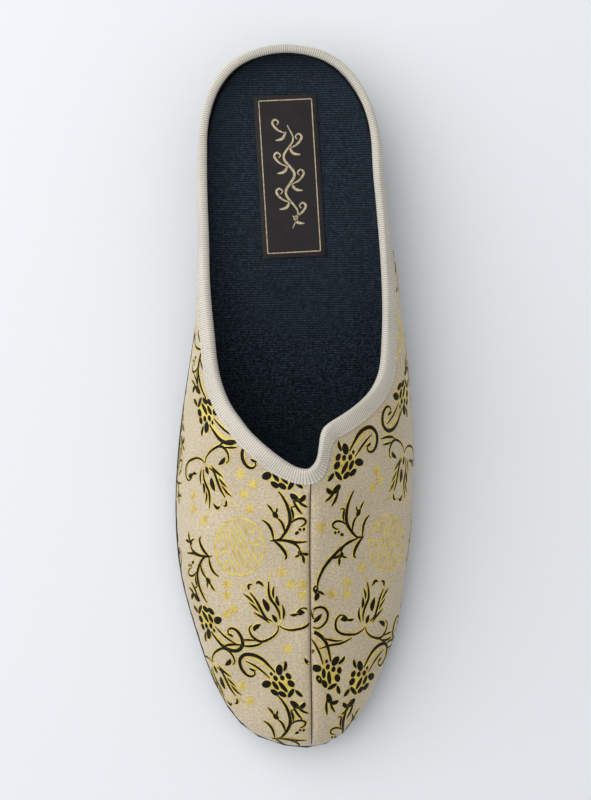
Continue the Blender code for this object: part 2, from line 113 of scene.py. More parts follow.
# The woven figures, charted in millimetres: x towards the seam, y towards the heel. A stroke is its
# kind, width and line: ink is dark with gold edges, gold is gold, leaf a pointed petal, cell a round one.
FAN = (
    ("gold", 0.50, ((-2.6, 15.3), (-2.1, 16.8), (-1.4, 18.6))),
    ("gold", 0.45, ((-8.4, 10.4), (-12.3, 13.0), (-15.8, 14.5))),
    ("gold", 0.60, ((-2.4, 0.0), (0.2, -0.5), (2.6, 1.2))),
    ("ink", 0.95, ((1.3, 1.5), (0.9, 4.2), (-0.5, 6.9), (-1.9, 8.9), (-2.6, 11.4), (-2.6, 15.3))),
    ("leaf", 0.95, ((2.4, 1.5), (2.7, 4.2), (2.1, 6.9))),
    ("leaf", 1.25, ((1.0, 6.4), (0.3, 8.3), (0.2, 10.2))),
    ("leaf", 0.90, ((-0.8, 9.3), (-1.1, 11.3), (-0.7, 13.6))),
    ("ink", 0.95, ((-1.6, 0.8), (-3.8, 2.1), (-5.2, 4.4), (-6.3, 6.6), (-7.4, 8.6), (-9.4, 11.2))),
    ("leaf", 0.95, ((-2.6, 0.2), (-4.8, 2.0), (-8.1, 4.0))),
    ("leaf", 0.85, ((-6.3, 4.4), (-7.9, 6.0), (-9.9, 7.6))),
    ("leaf", 0.85, ((-7.9, 7.2), (-9.9, 9.3), (-12.0, 10.8))),
    ("leaf", 2.00, ((-2.9, 4.4), (-3.4, 6.4), (-4.8, 9.0))),
    ("leaf", 1.50, ((0.1, 0.4), (-0.6, 1.8), (-1.5, 3.2))),
    ("leaf", 1.15, ((-7.2, 14.4), (-6.2, 15.1), (-4.4, 13.6))),
    ("leaf", 1.05, ((-9.9, 12.2), (-9.9, 14.0), (-8.7, 14.2))),
    ("gold", 0.40, ((-4.2, 13.4), (-3.6, 12.2), (-3.3, 10.6))),
    ("gold", 0.40, ((-7.6, 14.2), (-8.2, 12.6), (-8.0, 11.4))),
)
VOLUTES = (
    ("ink", 0.90, ((1.0, -1.0), (2.5, -2.0), (5.0, -2.6), (7.9, -2.1), (10.4, -1.2), (12.1, 0.6),
                   (12.2, 2.8), (11.4, 4.6), (10.0, 5.6), (8.4, 5.2), (7.6, 4.4))),
    ("leaf", 1.10, ((4.9, 3.1), (6.3, 3.0), (7.9, 3.5))),
    ("leaf", 2.10, ((7.3, 3.4), (8.6, 4.0), (10.0, 3.9))),
    ("ink", 0.90, ((0.5, -1.0), (0.5, -2.7), (-1.1, -4.8), (-3.0, -6.0), (-5.0, -6.8), (-7.1, -6.4),
                   (-9.0, -4.8), (-9.9, -2.9), (-9.9, -1.6), (-9.0, -0.9))),
    ("leaf", 1.80, ((-8.2, -2.9), (-7.6, -1.6), (-5.8, -0.4))),
    ("ink", 0.90, ((-5.0, -6.8), (-6.4, -7.9), (-9.4, -8.6), (-13.2, -8.6))),
    ("ink", 0.75, ((-7.8, -6.5), (-9.8, -6.3), (-12.8, -6.4))),
)
VINE = (
    ("ink", 0.85, ((6.8, -3.6), (11.0, -4.6), (15.6, -4.5), (19.4, -4.8))),
    ("ink", 0.75, ((10.6, -3.7), (13.5, -3.2), (17.6, -1.3))),
)
TWIG = (
    ("ink", 1.15, ((2.0, 17.2), (3.4, 15.4), (5.0, 12.6), (6.0, 9.4), (6.2, 6.6), (5.4, 4.2), (4.2, 2.2),
                   (2.6, 0.4), (0.0, 0.0))),
    ("gold", 0.40, ((3.0, 14.6), (4.4, 12.0), (5.2, 9.2), (5.3, 6.8))),
    ("leaf", 0.95, ((6.5, 11.8), (7.3, 9.0), (7.2, 7.0))),
    ("leaf", 0.60, ((6.4, 11.4), (7.2, 11.8), (8.2, 11.8))),
    ("ink", 0.85, ((4.4, 2.8), (3.9, 5.0), (3.0, 6.7), (1.6, 8.0))),
    ("leaf", 1.80, ((1.9, 8.0), (0.9, 9.0), (0.1, 10.2))),
    ("leaf", 0.90, ((0.2, 9.8), (-0.8, 11.4), (-2.0, 12.7))),
    ("leaf", 0.80, ((1.0, 9.4), (1.5, 10.4), (1.5, 11.6))),
    ("ink", 0.90, ((-3.7, 7.2), (-1.9, 6.0), (-0.5, 4.0), (0.2, 1.7), (0.4, 0.2))),
    ("ink", 1.10, ((0.4, -0.1), (2.3, -1.6), (4.2, -3.9), (5.0, -6.0), (4.4, -6.9))),
    ("ink", 0.80, ((6.1, 5.6), (8.0, 7.2), (9.9, 7.8), (11.5, 7.3), (11.7, 6.2), (10.8, 5.2), (9.7, 4.8))),
    ("leaf", 1.10, ((11.2, 4.4), (11.0, 3.2))),
    ("leaf", 1.00, ((9.4, 4.2), (10.2, 3.4))),
    ("leaf", 1.30, ((9.2, 3.1), (8.0, 2.1))),
    ("ink", 0.90, ((2.4, 0.0), (5.7, -0.5), (8.1, -1.4), (9.5, -2.8), (9.9, -4.4))),
    ("leaf", 1.70, ((9.4, -3.7), (10.3, -5.6))),
    ("leaf", 0.90, ((9.6, -4.9), (8.9, -5.6), (7.9, -6.0))),
    ("leaf", 1.10, ((10.6, -5.2), (11.0, -6.8), (11.2, -8.4))),
    ("leaf", 1.10, ((10.6, -4.6), (11.8, -5.1), (13.2, -5.3))),
)
BOUGH = (
    ("ink", 0.95, ((-0.9, -0.2), (3.1, 0.0), (5.7, -0.3), (8.2, -0.7), (12.2, -0.6))),
)
ARM = (
    ("ink", 1.10, ((3.4, -0.2), (8.5, -1.6), (12.9, -4.4), (16.9, -7.8), (19.5, -11.6), (20.7, -15.2))),
    ("leaf", 2.10, ((20.8, -13.6), (21.4, -16.6))),
    ("leaf", 1.90, ((20.4, -16.4), (21.8, -19.2))),
    ("leaf", 1.00, ((20.4, -15.8), (18.2, -17.6))),
)
PEONY = (
    ("gold", 2.40, ((-3.2, 4.8), (-2.8, 1.6), (-2.6, -1.8))),
    ("gold", 2.40, ((-1.3, 4.6), (-0.9, 1.0), (-0.7, -2.8))),
    ("gold", 2.40, ((0.8, 5.4), (1.2, 1.2), (1.2, -3.4))),
    ("gold", 2.40, ((2.9, 5.4), (3.2, 1.4), (3.3, -3.0))),
    ("cell", 2.60, ((-0.7, 5.4), (-0.7, 7.4), (-0.5, 9.4))),
    ("cell", 1.30, ((1.0, 6.9), (1.6, 9.0), (1.5, 10.6))),
    ("cell", 2.90, ((-3.8, 2.2), (-5.4, 1.9), (-7.2, 1.2))),
    ("cell", 1.20, ((-3.9, 6.5), (-3.4, 5.1))),
    ("cell", 1.70, ((-2.6, 5.2), (-1.7, 3.2))),
    ("cell", 1.70, ((-0.1, 5.4), (0.7, 3.4))),
    ("cell", 1.90, ((1.8, 6.2), (3.3, 3.9))),
    ("cell", 2.30, ((2.4, 3.4), (4.4, 1.1))),
    ("cell", 1.60, ((-3.3, 3.0), (-1.2, -0.2))),
    ("cell", 1.60, ((-1.0, 3.0), (0.4, 1.0), (2.1, -1.1))),
    ("cell", 2.00, ((-4.0, -0.3), (-1.2, -2.3))),
    ("cell", 2.00, ((-1.2, -0.9), (1.5, -2.8))),
    ("cell", 1.70, ((2.2, -3.1), (3.2, -1.6), (4.3, 0.3))),
    ("cell", 1.50, ((4.9, -0.2), (6.0, -1.4), (7.4, -2.6))),
    ("cell", 2.20, ((3.0, -4.6), (4.6, -5.9), (6.1, -7.2))),
    ("cell", 1.70, ((6.0, -7.0), (7.4, -6.3), (8.2, -4.9))),
    ("ink", 0.90, ((5.4, -6.4), (7.2, -8.2), (9.4, -9.4))),
    ("ink", 0.95, ((4.0, -6.6), (5.3, -9.2), (7.2, -11.6))),
    ("ink", 1.30, ((-2.2, 6.4), (-3.9, 8.4), (-6.8, 11.2), (-9.9, 12.7), (-13.4, 12.8), (-15.4, 10.6),
                   (-15.0, 7.6), (-13.2, 5.2), (-11.2, 4.5), (-9.8, 5.3), (-9.9, 6.5))),
    ("ink", 0.75, ((-4.2, 4.2), (-7.2, 6.9), (-10.1, 8.9), (-13.2, 10.4))),
    ("gold", 0.60, ((-3.6, 6.2), (-6.6, 9.2), (-9.6, 10.9), (-12.6, 11.4))),
    ("leaf", 1.00, ((-11.8, 7.6), (-10.6, 7.0), (-9.4, 6.8))),
)
CURL = (
    ("ink", 0.90, ((3.3, -3.1), (0.5, -3.8), (-2.2, -1.8), (-3.0, 1.2), (-1.5, 3.5), (1.1, 3.8), (2.6, 2.2),
                   (2.4, -0.1), (0.8, -1.1))),
    ("leaf", 1.60, ((2.2, -1.6), (0.6, -0.2), (-0.6, 1.4))),
)
MEDALLION_LINES = (
    ((-6.6, 3.6), (-6.6, 7.2)), ((-4.6, 8.6), (-4.6, 1.6), (-8.2, 1.6)), ((-2.7, 9.4), (-2.7, -9.4)),
    ((-0.9, 9.8), (-0.9, -9.8)), ((0.9, 9.8), (0.9, -9.8)), ((2.7, 9.4), (2.7, -9.4)),
    ((4.6, -8.6), (4.6, -1.6), (8.2, -1.6)), ((6.6, -3.6), (6.6, -7.2)),
    ((4.6, 8.6), (4.6, 3.4), (7.9, 3.4), (7.9, 5.8)),
    ((-4.6, -8.6), (-4.6, -3.4), (-7.9, -3.4), (-7.9, -5.8)), ((-9.8, 0.0), (-4.6, 0.0), (-4.6, -1.6)),
    ((9.8, 0.0), (4.6, 0.0), (4.6, 1.6)), ((6.4, 5.2), (6.4, 7.4)), ((-6.4, -5.2), (-6.4, -7.4)),
)
MEDALLION_RADII = (9.5, 10.3)
STAR_RAY = (0.2, 2.1)

# How far apart the places on each kind of stroke lie, in millimetres
STROKE_STEPS = {"ink": 0.9, "gold": 0.9, "leaf": 0.45, "cell": 0.45}

# Where each figure lies on the cloth of each half: run and reach in millimetres, and its turn in degrees
FIGURES = {
    INNER: (
        ("fan", 49.2, 12.1, 0), ("fan", 105.7, 40.8, 180), ("fan", 32.3, 38.2, 180),
        ("twig", 79.4, 13.3, 0), ("bough", 79.4, 13.3, 0), ("twig", 4.7, 14.1, 0), ("bough", 4.7, 14.1, 0),
        ("peony", 100.3, 10.1, 0), ("peony", 24.5, 10.7, 0), ("twig", 73.1, 37.4, 180),
        ("bough", 73.1, 37.4, 180), ("peony", 51.5, 40.2, 180), ("twig", 146.5, 40.5, 180),
        ("peony", 126.5, 43.0, 180), ("medallion", 76.8, 25.7, 0), ("mirrored peony", 28.0, -4.6, 32),
    ),
    OUTER: (
        ("fan", 47.1, 21.6, 0), ("vine", 47.1, 21.6, 0), ("fan", 107.2, 43.5, 180), ("twig", 79.3, 20.7, 0),
        ("arm", 79.3, 20.7, 0), ("peony", 103.5, 13.2, 0), ("twig", 2.1, 19.5, 0), ("peony", 24.2, 19.2, 0),
        ("twig", 75.4, 48.3, 180), ("peony", 54.0, 50.5, 180), ("peony", 131.1, 44.8, 180),
        ("twig", 151.0, 43.0, 180), ("fan", 32.0, 46.0, 180), ("medallion", 76.1, 32.4, 0),
        ("mirrored peony", 27.8, 5.6, 40), ("curl", 51.0, 3.3, 8),
    ),
}
STARS = {
    INNER: (
        (102.7, 25.6), (99.1, 20.6), (95.8, 24.0), (90.5, 21.7), (94.8, 47.1), (89.8, 46.6), (85.9, 40.8),
        (39.7, 8.3), (67.9, 10.0), (63.4, 6.8), (63.4, 2.6), (59.6, 2.6), (63.3, 30.5), (59.1, 30.6),
        (54.1, 28.0), (52.2, 30.8), (25.2, 25.8), (19.6, 22.8),
    ),
    OUTER: (
        (83.9, 3.8), (102.7, 26.6), (99.4, 28.3), (96.7, 25.0), (68.1, 19.8), (63.1, 13.8), (59.2, 8.0),
        (58.9, 13.7),
    ),
}
CHARTS = {
    "fan": FAN + VOLUTES, "vine": VINE, "twig": TWIG, "bough": BOUGH,
    "arm": ARM, "peony": PEONY, "curl": CURL,
}

# Turns in degrees: of the whole cloth of each half, and of the medallion's bars
CLOTH_TURN = {INNER: 0.0, OUTER: -8.0}
MEDALLION_LEAN = 20

# The repeat of the cloth in millimetres: along the run, where it drops a little, and slanting down. Figures
# are repeated beyond this run or reach, and this far from a twin; stars beyond a reach of their own.
REPEAT_RUN = 75
REPEAT_DROP = 4
REPEAT_SLANT = (20, 56)
VAMP_RUN = 150
WALL_REACH = 30
FLANK_REACH = 60
TWIN_GAP = 16
STAR_REACH = 38
STAR_DROP = 3

# Strips of the cloth that have no figures: at the centre seam, the sewn edge, the tape and the heel's back
SEAM_PLAIN, EDGE_PLAIN, TAPE_PLAIN, HEEL_PLAIN = 0.3 * MM, 0.5 * MM, 3 * MM, 32 * MM

# From the toe to the first stitch of the centre seam, and from its last stitch to the throat
SEAM_ENDS = (2.5 * MM, 6.5 * MM)

# Share of its pitch that a stitch takes up, on the seam and on the tape
SEAM_STITCH, TAPE_STITCH = 0.9, 0.70

# Heel slope and toe spring of the sole's top, as shares of the length
HEEL_SLOPE = (0.64, 0.36)
TOE_CURVE = (0.72, 1.8)

# Where the insole comes out from under the vamp and where it draws in at the toe: from there, over this much
OPEN_FROM = (0.56, 0.14)
TOE_FROM = (0.90, 0.08)

# How finely the last and the cloth are worked out
KNOT_STEPS = 60
OUTLINE_POINTS = 2880
SECTION_POINTS = 161
CLOTH_ROWS = 120
UPPER_COLUMNS = 48
NEAR_SEAM = (0, 0.2, 0.42, 0.68, 1.0, 1.4, 2.0, 2.8, 3.8, 5.0)
INSOLE_COLUMNS = 30

# The tape's folded section: mesh rows to a rib, places down each leg, and turns over the edge in degrees
RIB_STEPS = 3
LEG_SHARES = (1.0, 0.88, 0.78, 0.68, 0.4, 0.2)
FOLD_TURNS = (0, 45, 90, 135, 180)
SEWN_COLUMN = 2

# How high the gold print of the patch lies, and its scroll above that
PRINT_LIFT, SCROLL_LIFT = 0.04 * MM, 0.01 * MM

# Lights of the stage: name, place and width in metres
LIGHTS = (("key", (-0.84, 0.40, 0.88), 1.9), ("fill", (0.8, -0.3, 0.9), 0.9))
CAMERA_TARGET = (0.0, 0.0, 0.025)

# A wave texture repeats once in this many metres at scale 1
WAVE_UNIT = 2 * math.pi / 20


def number(name, text, value, **unit_of):
    """A number that the sidebar shows."""
    return bpy.props.FloatProperty(name=name, description=text, default=value, **unit_of)


def mm(name, text, value):
    """A length, given here in millimetres and shown in scene units."""
    return number(name, text, value * MM, min=0, subtype="DISTANCE", unit="LENGTH")


def angle(name, text, degrees):
    """An angle, given here in degrees."""
    return number(name, text, math.radians(degrees), subtype="ANGLE", unit="ROTATION")


def colour(name, text, value):
    """A colour that the sidebar shows as a swatch."""
    return bpy.props.FloatVectorProperty(
        name=name, description=text, default=value, size=3, min=0, max=1, subtype="COLOR"
    )


class LastSizes(bpy.types.PropertyGroup):
    """Sizes of the foot shape that everything is built over."""

    length: mm("Length", "Length of the sewn edge, heel to toe", 255)
    ball_width: mm("Ball width", "Width of the sewn edge at the ball", 86)
    instep_height: mm("Instep height", "Height of the throat above the floor", 55)
    heel_seat: mm("Heel seat", "Height of the sole's top under the heel", 18)
    forepart: mm("Forepart", "Thickness of the sole under the ball", 6)
    toe_spring: mm("Toe spring", "Lift of the sole at the toe tip", 5)
    gap: mm("Gap", "Room between the sole and what stands on it", 0.3)
    middle_x: mm("Middle X", "From the middle of the outline to the origin, sideways", 0.25)
    middle_y: mm("Middle Y", "From the middle of the outline to the origin, lengthways", 0.45)


class BrocadeSizes(bpy.types.PropertyGroup):
    """Sizes and colours of the woven upper."""

    wall: mm("Wall", "Thickness of the cloth with its lining", 1.5)
    pitch: mm("Mesh pitch", "Distance between the rows of the mesh", 1.3)
    seam_depth: mm("Seam depth", "Depth of the valley along the centre seam", 1.15)
    seam_width: mm("Seam width", "Half width of that valley", 0.6)
    shoulder: mm("Seam shoulder", "Swell of the cloth beside the seam", 0.35)
    pucker: mm("Pucker", "Depth of the small gathers beside the seam", 0.16)
    pucker_pitch: mm("Pucker pitch", "Distance between the gathers", 4.2)
    dent: mm("Dent", "Depth of the soft unevenness of the cloth", 0.35)
    pull: mm("Pull", "Depth of the small folds above the sewn edge", 0.12)
    figure_lift: mm("Figure lift", "Height of the woven figures above the ground", 0.13)
    boldness: number("Boldness", "Widens the dark strokes", 1.12)
    gold_edge: mm("Gold edge", "Width of the gold edge round a dark figure", 0.33)
    ground: colour("Ground", "Colour of the satin ground", (0.68, 0.575, 0.41))
    fleck: colour("Fleck", "Colour of the gold flecks in the ground", (0.62, 0.47, 0.20))
    dark: colour("Dark", "Colour of the dark figures", (0.0048, 0.0043, 0.0036))
    tied: colour("Tied", "Colour of the dark figures where gold is tied down", (0.050, 0.042, 0.026))
    gold: colour("Gold", "Colour of the gold thread", (0.99, 0.71, 0.15))
    bronze: colour("Bronze", "Colour of the gold thread where it is dull", (0.60, 0.33, 0.06))
    lining: colour("Lining", "Colour of the lining", (0.0060, 0.0085, 0.0110))


class SeamSizes(bpy.types.PropertyGroup):
    """Stitches of the centre seam."""

    pitch: mm("Pitch", "Distance between the stitches", 2.1)
    length: mm("Length", "Length of a stitch", 1.85)
    radius: mm("Radius", "Half the thickness of the thread", 0.19)
    lift: mm("Lift", "Height above the bottom of the valley", 0.12)
    strip: mm("Strip", "Half width of the dark line under the stitches", 0.18)
    thread: colour("Thread", "Colour of the thread", (0.022, 0.016, 0.011))


class TapeSizes(bpy.types.PropertyGroup):
    """Sizes and colours of the ribbed tape over the collar."""

    outer_leg: mm("Outer leg", "Width of the tape outside", 5.3)
    inner_leg: mm("Inner leg", "Width of the tape inside", 5)
    thickness: mm("Thickness", "Thickness of the tape", 0.6)
    gap: mm("Gap", "Room between the tape and the cloth", 0.12)
    rib_pitch: mm("Rib pitch", "Distance between the ribs", 0.80)
    rib_depth: mm("Rib depth", "Depth of the ribs", 0.17)
    stitch_pitch: mm("Stitch pitch", "Distance between the stitches", 2.2)
    stitch_radius: mm("Stitch radius", "Half the thickness of the stitches", 0.21)
    sewn_depth: mm("Sewn depth", "How far the stitches pull the tape in", 0.16)
    cream: colour("Cream", "Colour of the tape", (0.79, 0.735, 0.64))
    thread: colour("Thread", "Colour of the stitches", (0.66, 0.59, 0.48))


class InsoleSizes(bpy.types.PropertyGroup):
    """Sizes and colours of the padded insole."""

    thickness: mm("Thickness", "Thickness of the insole", 3)
    inset: mm("Inset", "From the sewn edge to the insole", 2.2)
    toe_setback: mm("Toe setback", "More inset at the toe", 2.5)
    cup: mm("Cup", "How far the rim rises round the heel", 1.6)
    flare: mm("Flare", "How far the risen rim leans out to the lining", 1.2)
    cup_reach: mm("Cup reach", "From the rim to where the insole is flat", 9)
    edge: mm("Edge", "Radius of the upper edge", 0.8)
    row_pitch: mm("Row pitch", "Distance between the rows of pile", 0.85)
    row_depth: mm("Row depth", "Depth of the rows of pile", 0.14)
    navy: colour("Navy", "Colour of the pile", (0.0095, 0.0155, 0.0225))


class PatchSizes(bpy.types.PropertyGroup):
    """Sizes and colours of the plain patch in the heel."""

    length: mm("Length", "Length of the patch", 59)
    width: mm("Width", "Width of the patch", 23)
    thickness: mm("Thickness", "Thickness of the patch", 0.5)
    sunk: mm("Sunk", "How far the patch presses into the pile", 0.3)
    along: number("Along", "Middle as a share of the length", 0.180)
    across: number("Across", "Middle as a share of the ball width", 0.002)
    turn: angle("Turn", "Turn of the patch", 2.2)
    frame_inset: mm("Frame inset", "From the edge to the gold line", 1.9)
    frame_width: mm("Frame width", "Width of the gold line", 0.35)
    brown: colour("Brown", "Colour of the patch", (0.0105, 0.0084, 0.0090))
    gold: colour("Gold", "Colour of the line", (0.66, 0.55, 0.36))


class SoleSizes(bpy.types.PropertyGroup):
    """Colours of the moulded sole."""

    rubber: colour("Rubber", "Colour of the sole", (0.020, 0.018, 0.018))
    scuff: colour("Scuff", "Colour of the sole where it is scuffed", (0.10, 0.095, 0.09))


class StageSizes(bpy.types.PropertyGroup):
    """Floor, lights and camera."""

    floor: mm("Floor", "Width of the floor", 6000)
    floor_colour: colour("Floor colour", "Colour of the floor", (0.92, 0.955, 0.99))
    key: number("Key light", "Power of the main light", 17.6, unit="POWER")
    fill: number("Fill light", "Power of the second light", 0.3, unit="POWER")
    sky: number("Sky light", "Strength of the light from all round", 0.47)
    sky_colour: colour("Sky colour", "Colour of the light from all round", (0.97, 0.97, 0.97))
    camera: bpy.props.FloatVectorProperty(
        name="Camera", description="Place of the camera", default=(-0.0489, 0.003, 0.6), subtype="TRANSLATION"
    )
    roll: angle("Roll", "Turn of the picture", -1.26)
    lens: number("Lens", "Focal length in millimetres", 72.0)


def smooth_step(value):
    """From nought to one, with soft ends."""
    t = np.clip(value, 0.0, 1.0)
    return t * t * (3 - 2 * t)


def smooth_columns(rows, at):
    """The columns of a table at many values of its first column, by a cubic that never overshoots a row."""
    table = np.array(rows, float)
    x, y = table[:, 0], table[:, 1:]
    at = np.clip(np.atleast_1d(np.asarray(at, float)), x[0], x[-1])
    steps = np.diff(x)
    slopes = np.diff(y, axis=0) / steps[:, None]
    left, right = slopes[:-1], slopes[1:]
    first = steps[1:, None] * 2 + steps[:-1, None]
    second = steps[1:, None] + steps[:-1, None] * 2
    same = left * right > 0
    safe_left, safe_right = np.where(same, left, 1), np.where(same, right, 1)
    inner = np.where(same, (first + second) / (first / safe_left + second / safe_right), 0)
    tangents = np.vstack([slopes[:1], inner, slopes[-1:]])
    i = np.clip(np.searchsorted(x, at) - 1, 0, len(x) - 2)
    h = steps[i][:, None]
    t = ((at - x[i]) / steps[i])[:, None]
    start = (1 + 2 * t) * (1 - t) ** 2 * y[i] + t * (1 - t) ** 2 * h * tangents[i]
    end = t * t * (3 - 2 * t) * y[i + 1] + t * t * (t - 1) * h * tangents[i + 1]
    return start + end


def unit(vectors):
    return vectors / np.maximum(np.linalg.norm(vectors, axis=-1, keepdims=True), 1e-12)


def reach_along(points):
    """Distance of each point from the first, along the line through them."""
    steps = np.linalg.norm(np.diff(points, axis=0), axis=1)
    return np.concatenate([[0], np.cumsum(steps)])


def spaced(points, reach, at):
    """Places on the line through points that have these reaches."""
    return np.column_stack([np.interp(at, reach, column) for column in np.transpose(points)])


def smooth_line(points, step):
    """An evenly spaced curve through these points."""
    points = np.array(points, float)
    if len(points) == 2:
        dense = points[:1] + (points[1:] - points[:1]) * np.linspace(0, 1, 9)[:, None]
    else:
        padded = np.vstack([2 * points[0] - points[1], points, 2 * points[-1] - points[-2]])
        dense = []
        t = np.linspace(0, 1, 12, endpoint=False)[:, None]
        for i in range(len(points) - 1):
            a, b, c, d = padded[i : i + 4]
            bend = (2 * a - 5 * b + 4 * c - d) * t**2 + (3 * b - a - 3 * c + d) * t**3
            dense.append(0.5 * (2 * b + (c - a) * t + bend))
        dense = np.vstack(dense + [points[-1:]])
    reach = reach_along(dense)
    count = max(2, math.ceil(reach[-1] / step))
    return spaced(dense, reach, np.linspace(0, reach[-1], count + 1))


class Last:
    """The foot shape: its outline, the line over its top, and each side's section line at any station."""

    def __init__(self, sizes):
        self.sizes = sizes
        self.halves = self.outline_halves()

    def place(self, along, across, height):
        """Points at shares of the length and of the ball width."""
        x = np.asarray(across, float) * self.sizes.ball_width - self.sizes.middle_x
        y = (0.5 - np.asarray(along, float)) * self.sizes.length - self.sizes.middle_y
        return np.stack([x, y, np.broadcast_to(height, x.shape)], axis=-1)

    def outline_halves(self):
        """Each side's half of the outline from the toe tip to the heel: along, x, y and outward direction."""
        scale = np.array((self.sizes.length, self.sizes.ball_width))
        knots = np.array(OUTLINE + OUTLINE[:1], float)
        steps = np.linalg.norm(np.diff(knots, axis=0) * scale, axis=1)
        size = len(steps)
        before = np.roll(steps, 1)
        slopes = np.diff(knots, axis=0) / steps[:, None]
        system = np.diag(2 * (before + steps))
        for i in range(size):
            system[i, i - 1] += before[i]
            system[i, (i + 1) % size] += steps[i]
        bends = np.linalg.solve(system, 6 * (slopes - np.roll(slopes, 1, axis=0)))
        line = []
        for i in range(size):
            bend, next_bend, step = bends[i], bends[(i + 1) % size], steps[i]
            for t in np.linspace(0, step, KNOT_STEPS, endpoint=False):
                start = knots[i] + t * (slopes[i] - step * (2 * bend + next_bend) / 6)
                line.append(start + t * t * bend / 2 + t**3 * (next_bend - bend) / (6 * step))
        line = np.array(line + line[:1])
        reach = reach_along(line * scale)
        loop = spaced(line, reach, np.linspace(0, reach[-1], OUTLINE_POINTS + 1))[:-1]
        loop = np.roll(loop, -int(np.argmax(loop[:, 0])), axis=0)
        loop[:, 0] = (loop[:, 0] - loop[:, 0].min()) / (loop[:, 0].max() - loop[:, 0].min())
        heel = int(np.argmin(loop[:, 0]))
        points = self.place(loop[:, 0], loop[:, 1], 0.0)[:, :2]
        tangents = np.roll(points, -8, axis=0) - np.roll(points, 8, axis=0)
        normals = unit(np.column_stack([tangents[:, 1], -tangents[:, 0]]))
        normals[0], normals[heel] = (0, -1), (0, 1)
        table = np.column_stack([loop[:, 0], points, normals])
        closed = np.vstack([table, table[:1]])
        return {OUTER: table[: heel + 1], INNER: closed[heel:][::-1]}

    def sole_top(self, along):
        """Height of the sole's top: the heel seat, the slope down to the forepart, and the toe spring."""
        sizes, along = self.sizes, np.asarray(along, float)
        raised = smooth_step((HEEL_SLOPE[0] - along) / HEEL_SLOPE[1])
        toe = np.maximum(0.0, (along - TOE_CURVE[0]) / (1 - TOE_CURVE[0]))
        flat = sizes.heel_seat * raised + sizes.forepart * (1 - raised)
        return flat + sizes.toe_spring * toe ** TOE_CURVE[1]

    def plan(self, side, along, outset=0.0, height=0.0):
        """Points of the outline at these stations, moved outwards by outset."""
        half = self.halves[side][::-1]
        x, y, nx, ny = (np.interp(along, half[:, 0], half[:, column]) for column in (1, 2, 3, 4))
        return np.stack([x + outset * nx, y + outset * ny, np.broadcast_to(height, x.shape)], axis=-1)

    def handles(self, side, along):
        """The four points of the section line at each station, from the sewn edge up to the top line."""
        along = np.asarray(along, float)
        foot = self.plan(side, along, 0.0, self.sole_top(along) + self.sizes.gap)
        across, height = smooth_columns(SPINE, along).T
        lift = np.maximum(height * self.sizes.instep_height, self.sole_top(1) + self.sizes.gap)
        spine = self.place(np.maximum(along, SPINE[0][0]), across, lift)
        spine = np.where((along < 1)[:, None], spine, foot)
        inwards = spine - foot
        rise = inwards[:, 2:3].copy()
        inwards[:, 2] = 0
        belly, shoulder, crown, roof = (column[:, None] for column in smooth_columns(SECTIONS[side], along).T)
        up = np.array((0, 0, 1.0))
        low = foot - unit(inwards) * belly * self.sizes.ball_width + up * shoulder * rise
        high = spine - inwards * crown - up * roof * rise
        return foot, low, high, spine

    def stations(self, pitch):
        """Stations from the toe tip to the heel, evenly spaced round the outer half of the outline."""
        half = self.halves[OUTER]
        reach = reach_along(half[:, 1:3])
        count = round(reach[-1] / pitch)
        stations = np.interp(np.linspace(0, reach[-1], count + 1), reach, half[:, 0])
        stations[0], stations[-1] = 1.0, 0.0
        return stations

    def run_of(self, along):
        """Distance from the toe: along the middle line, then round the heel."""
        half = self.halves[OUTER][::-1]
        reach = reach_along(half[:, 1:3])
        arc = np.interp(SPINE[0][0], half[:, 0], reach) - np.interp(along, half[:, 0], reach)
        straight = (1 - np.maximum(along, SPINE[0][0])) * self.sizes.length
        return straight + np.where(np.asarray(along) < SPINE[0][0], arc, 0.0)


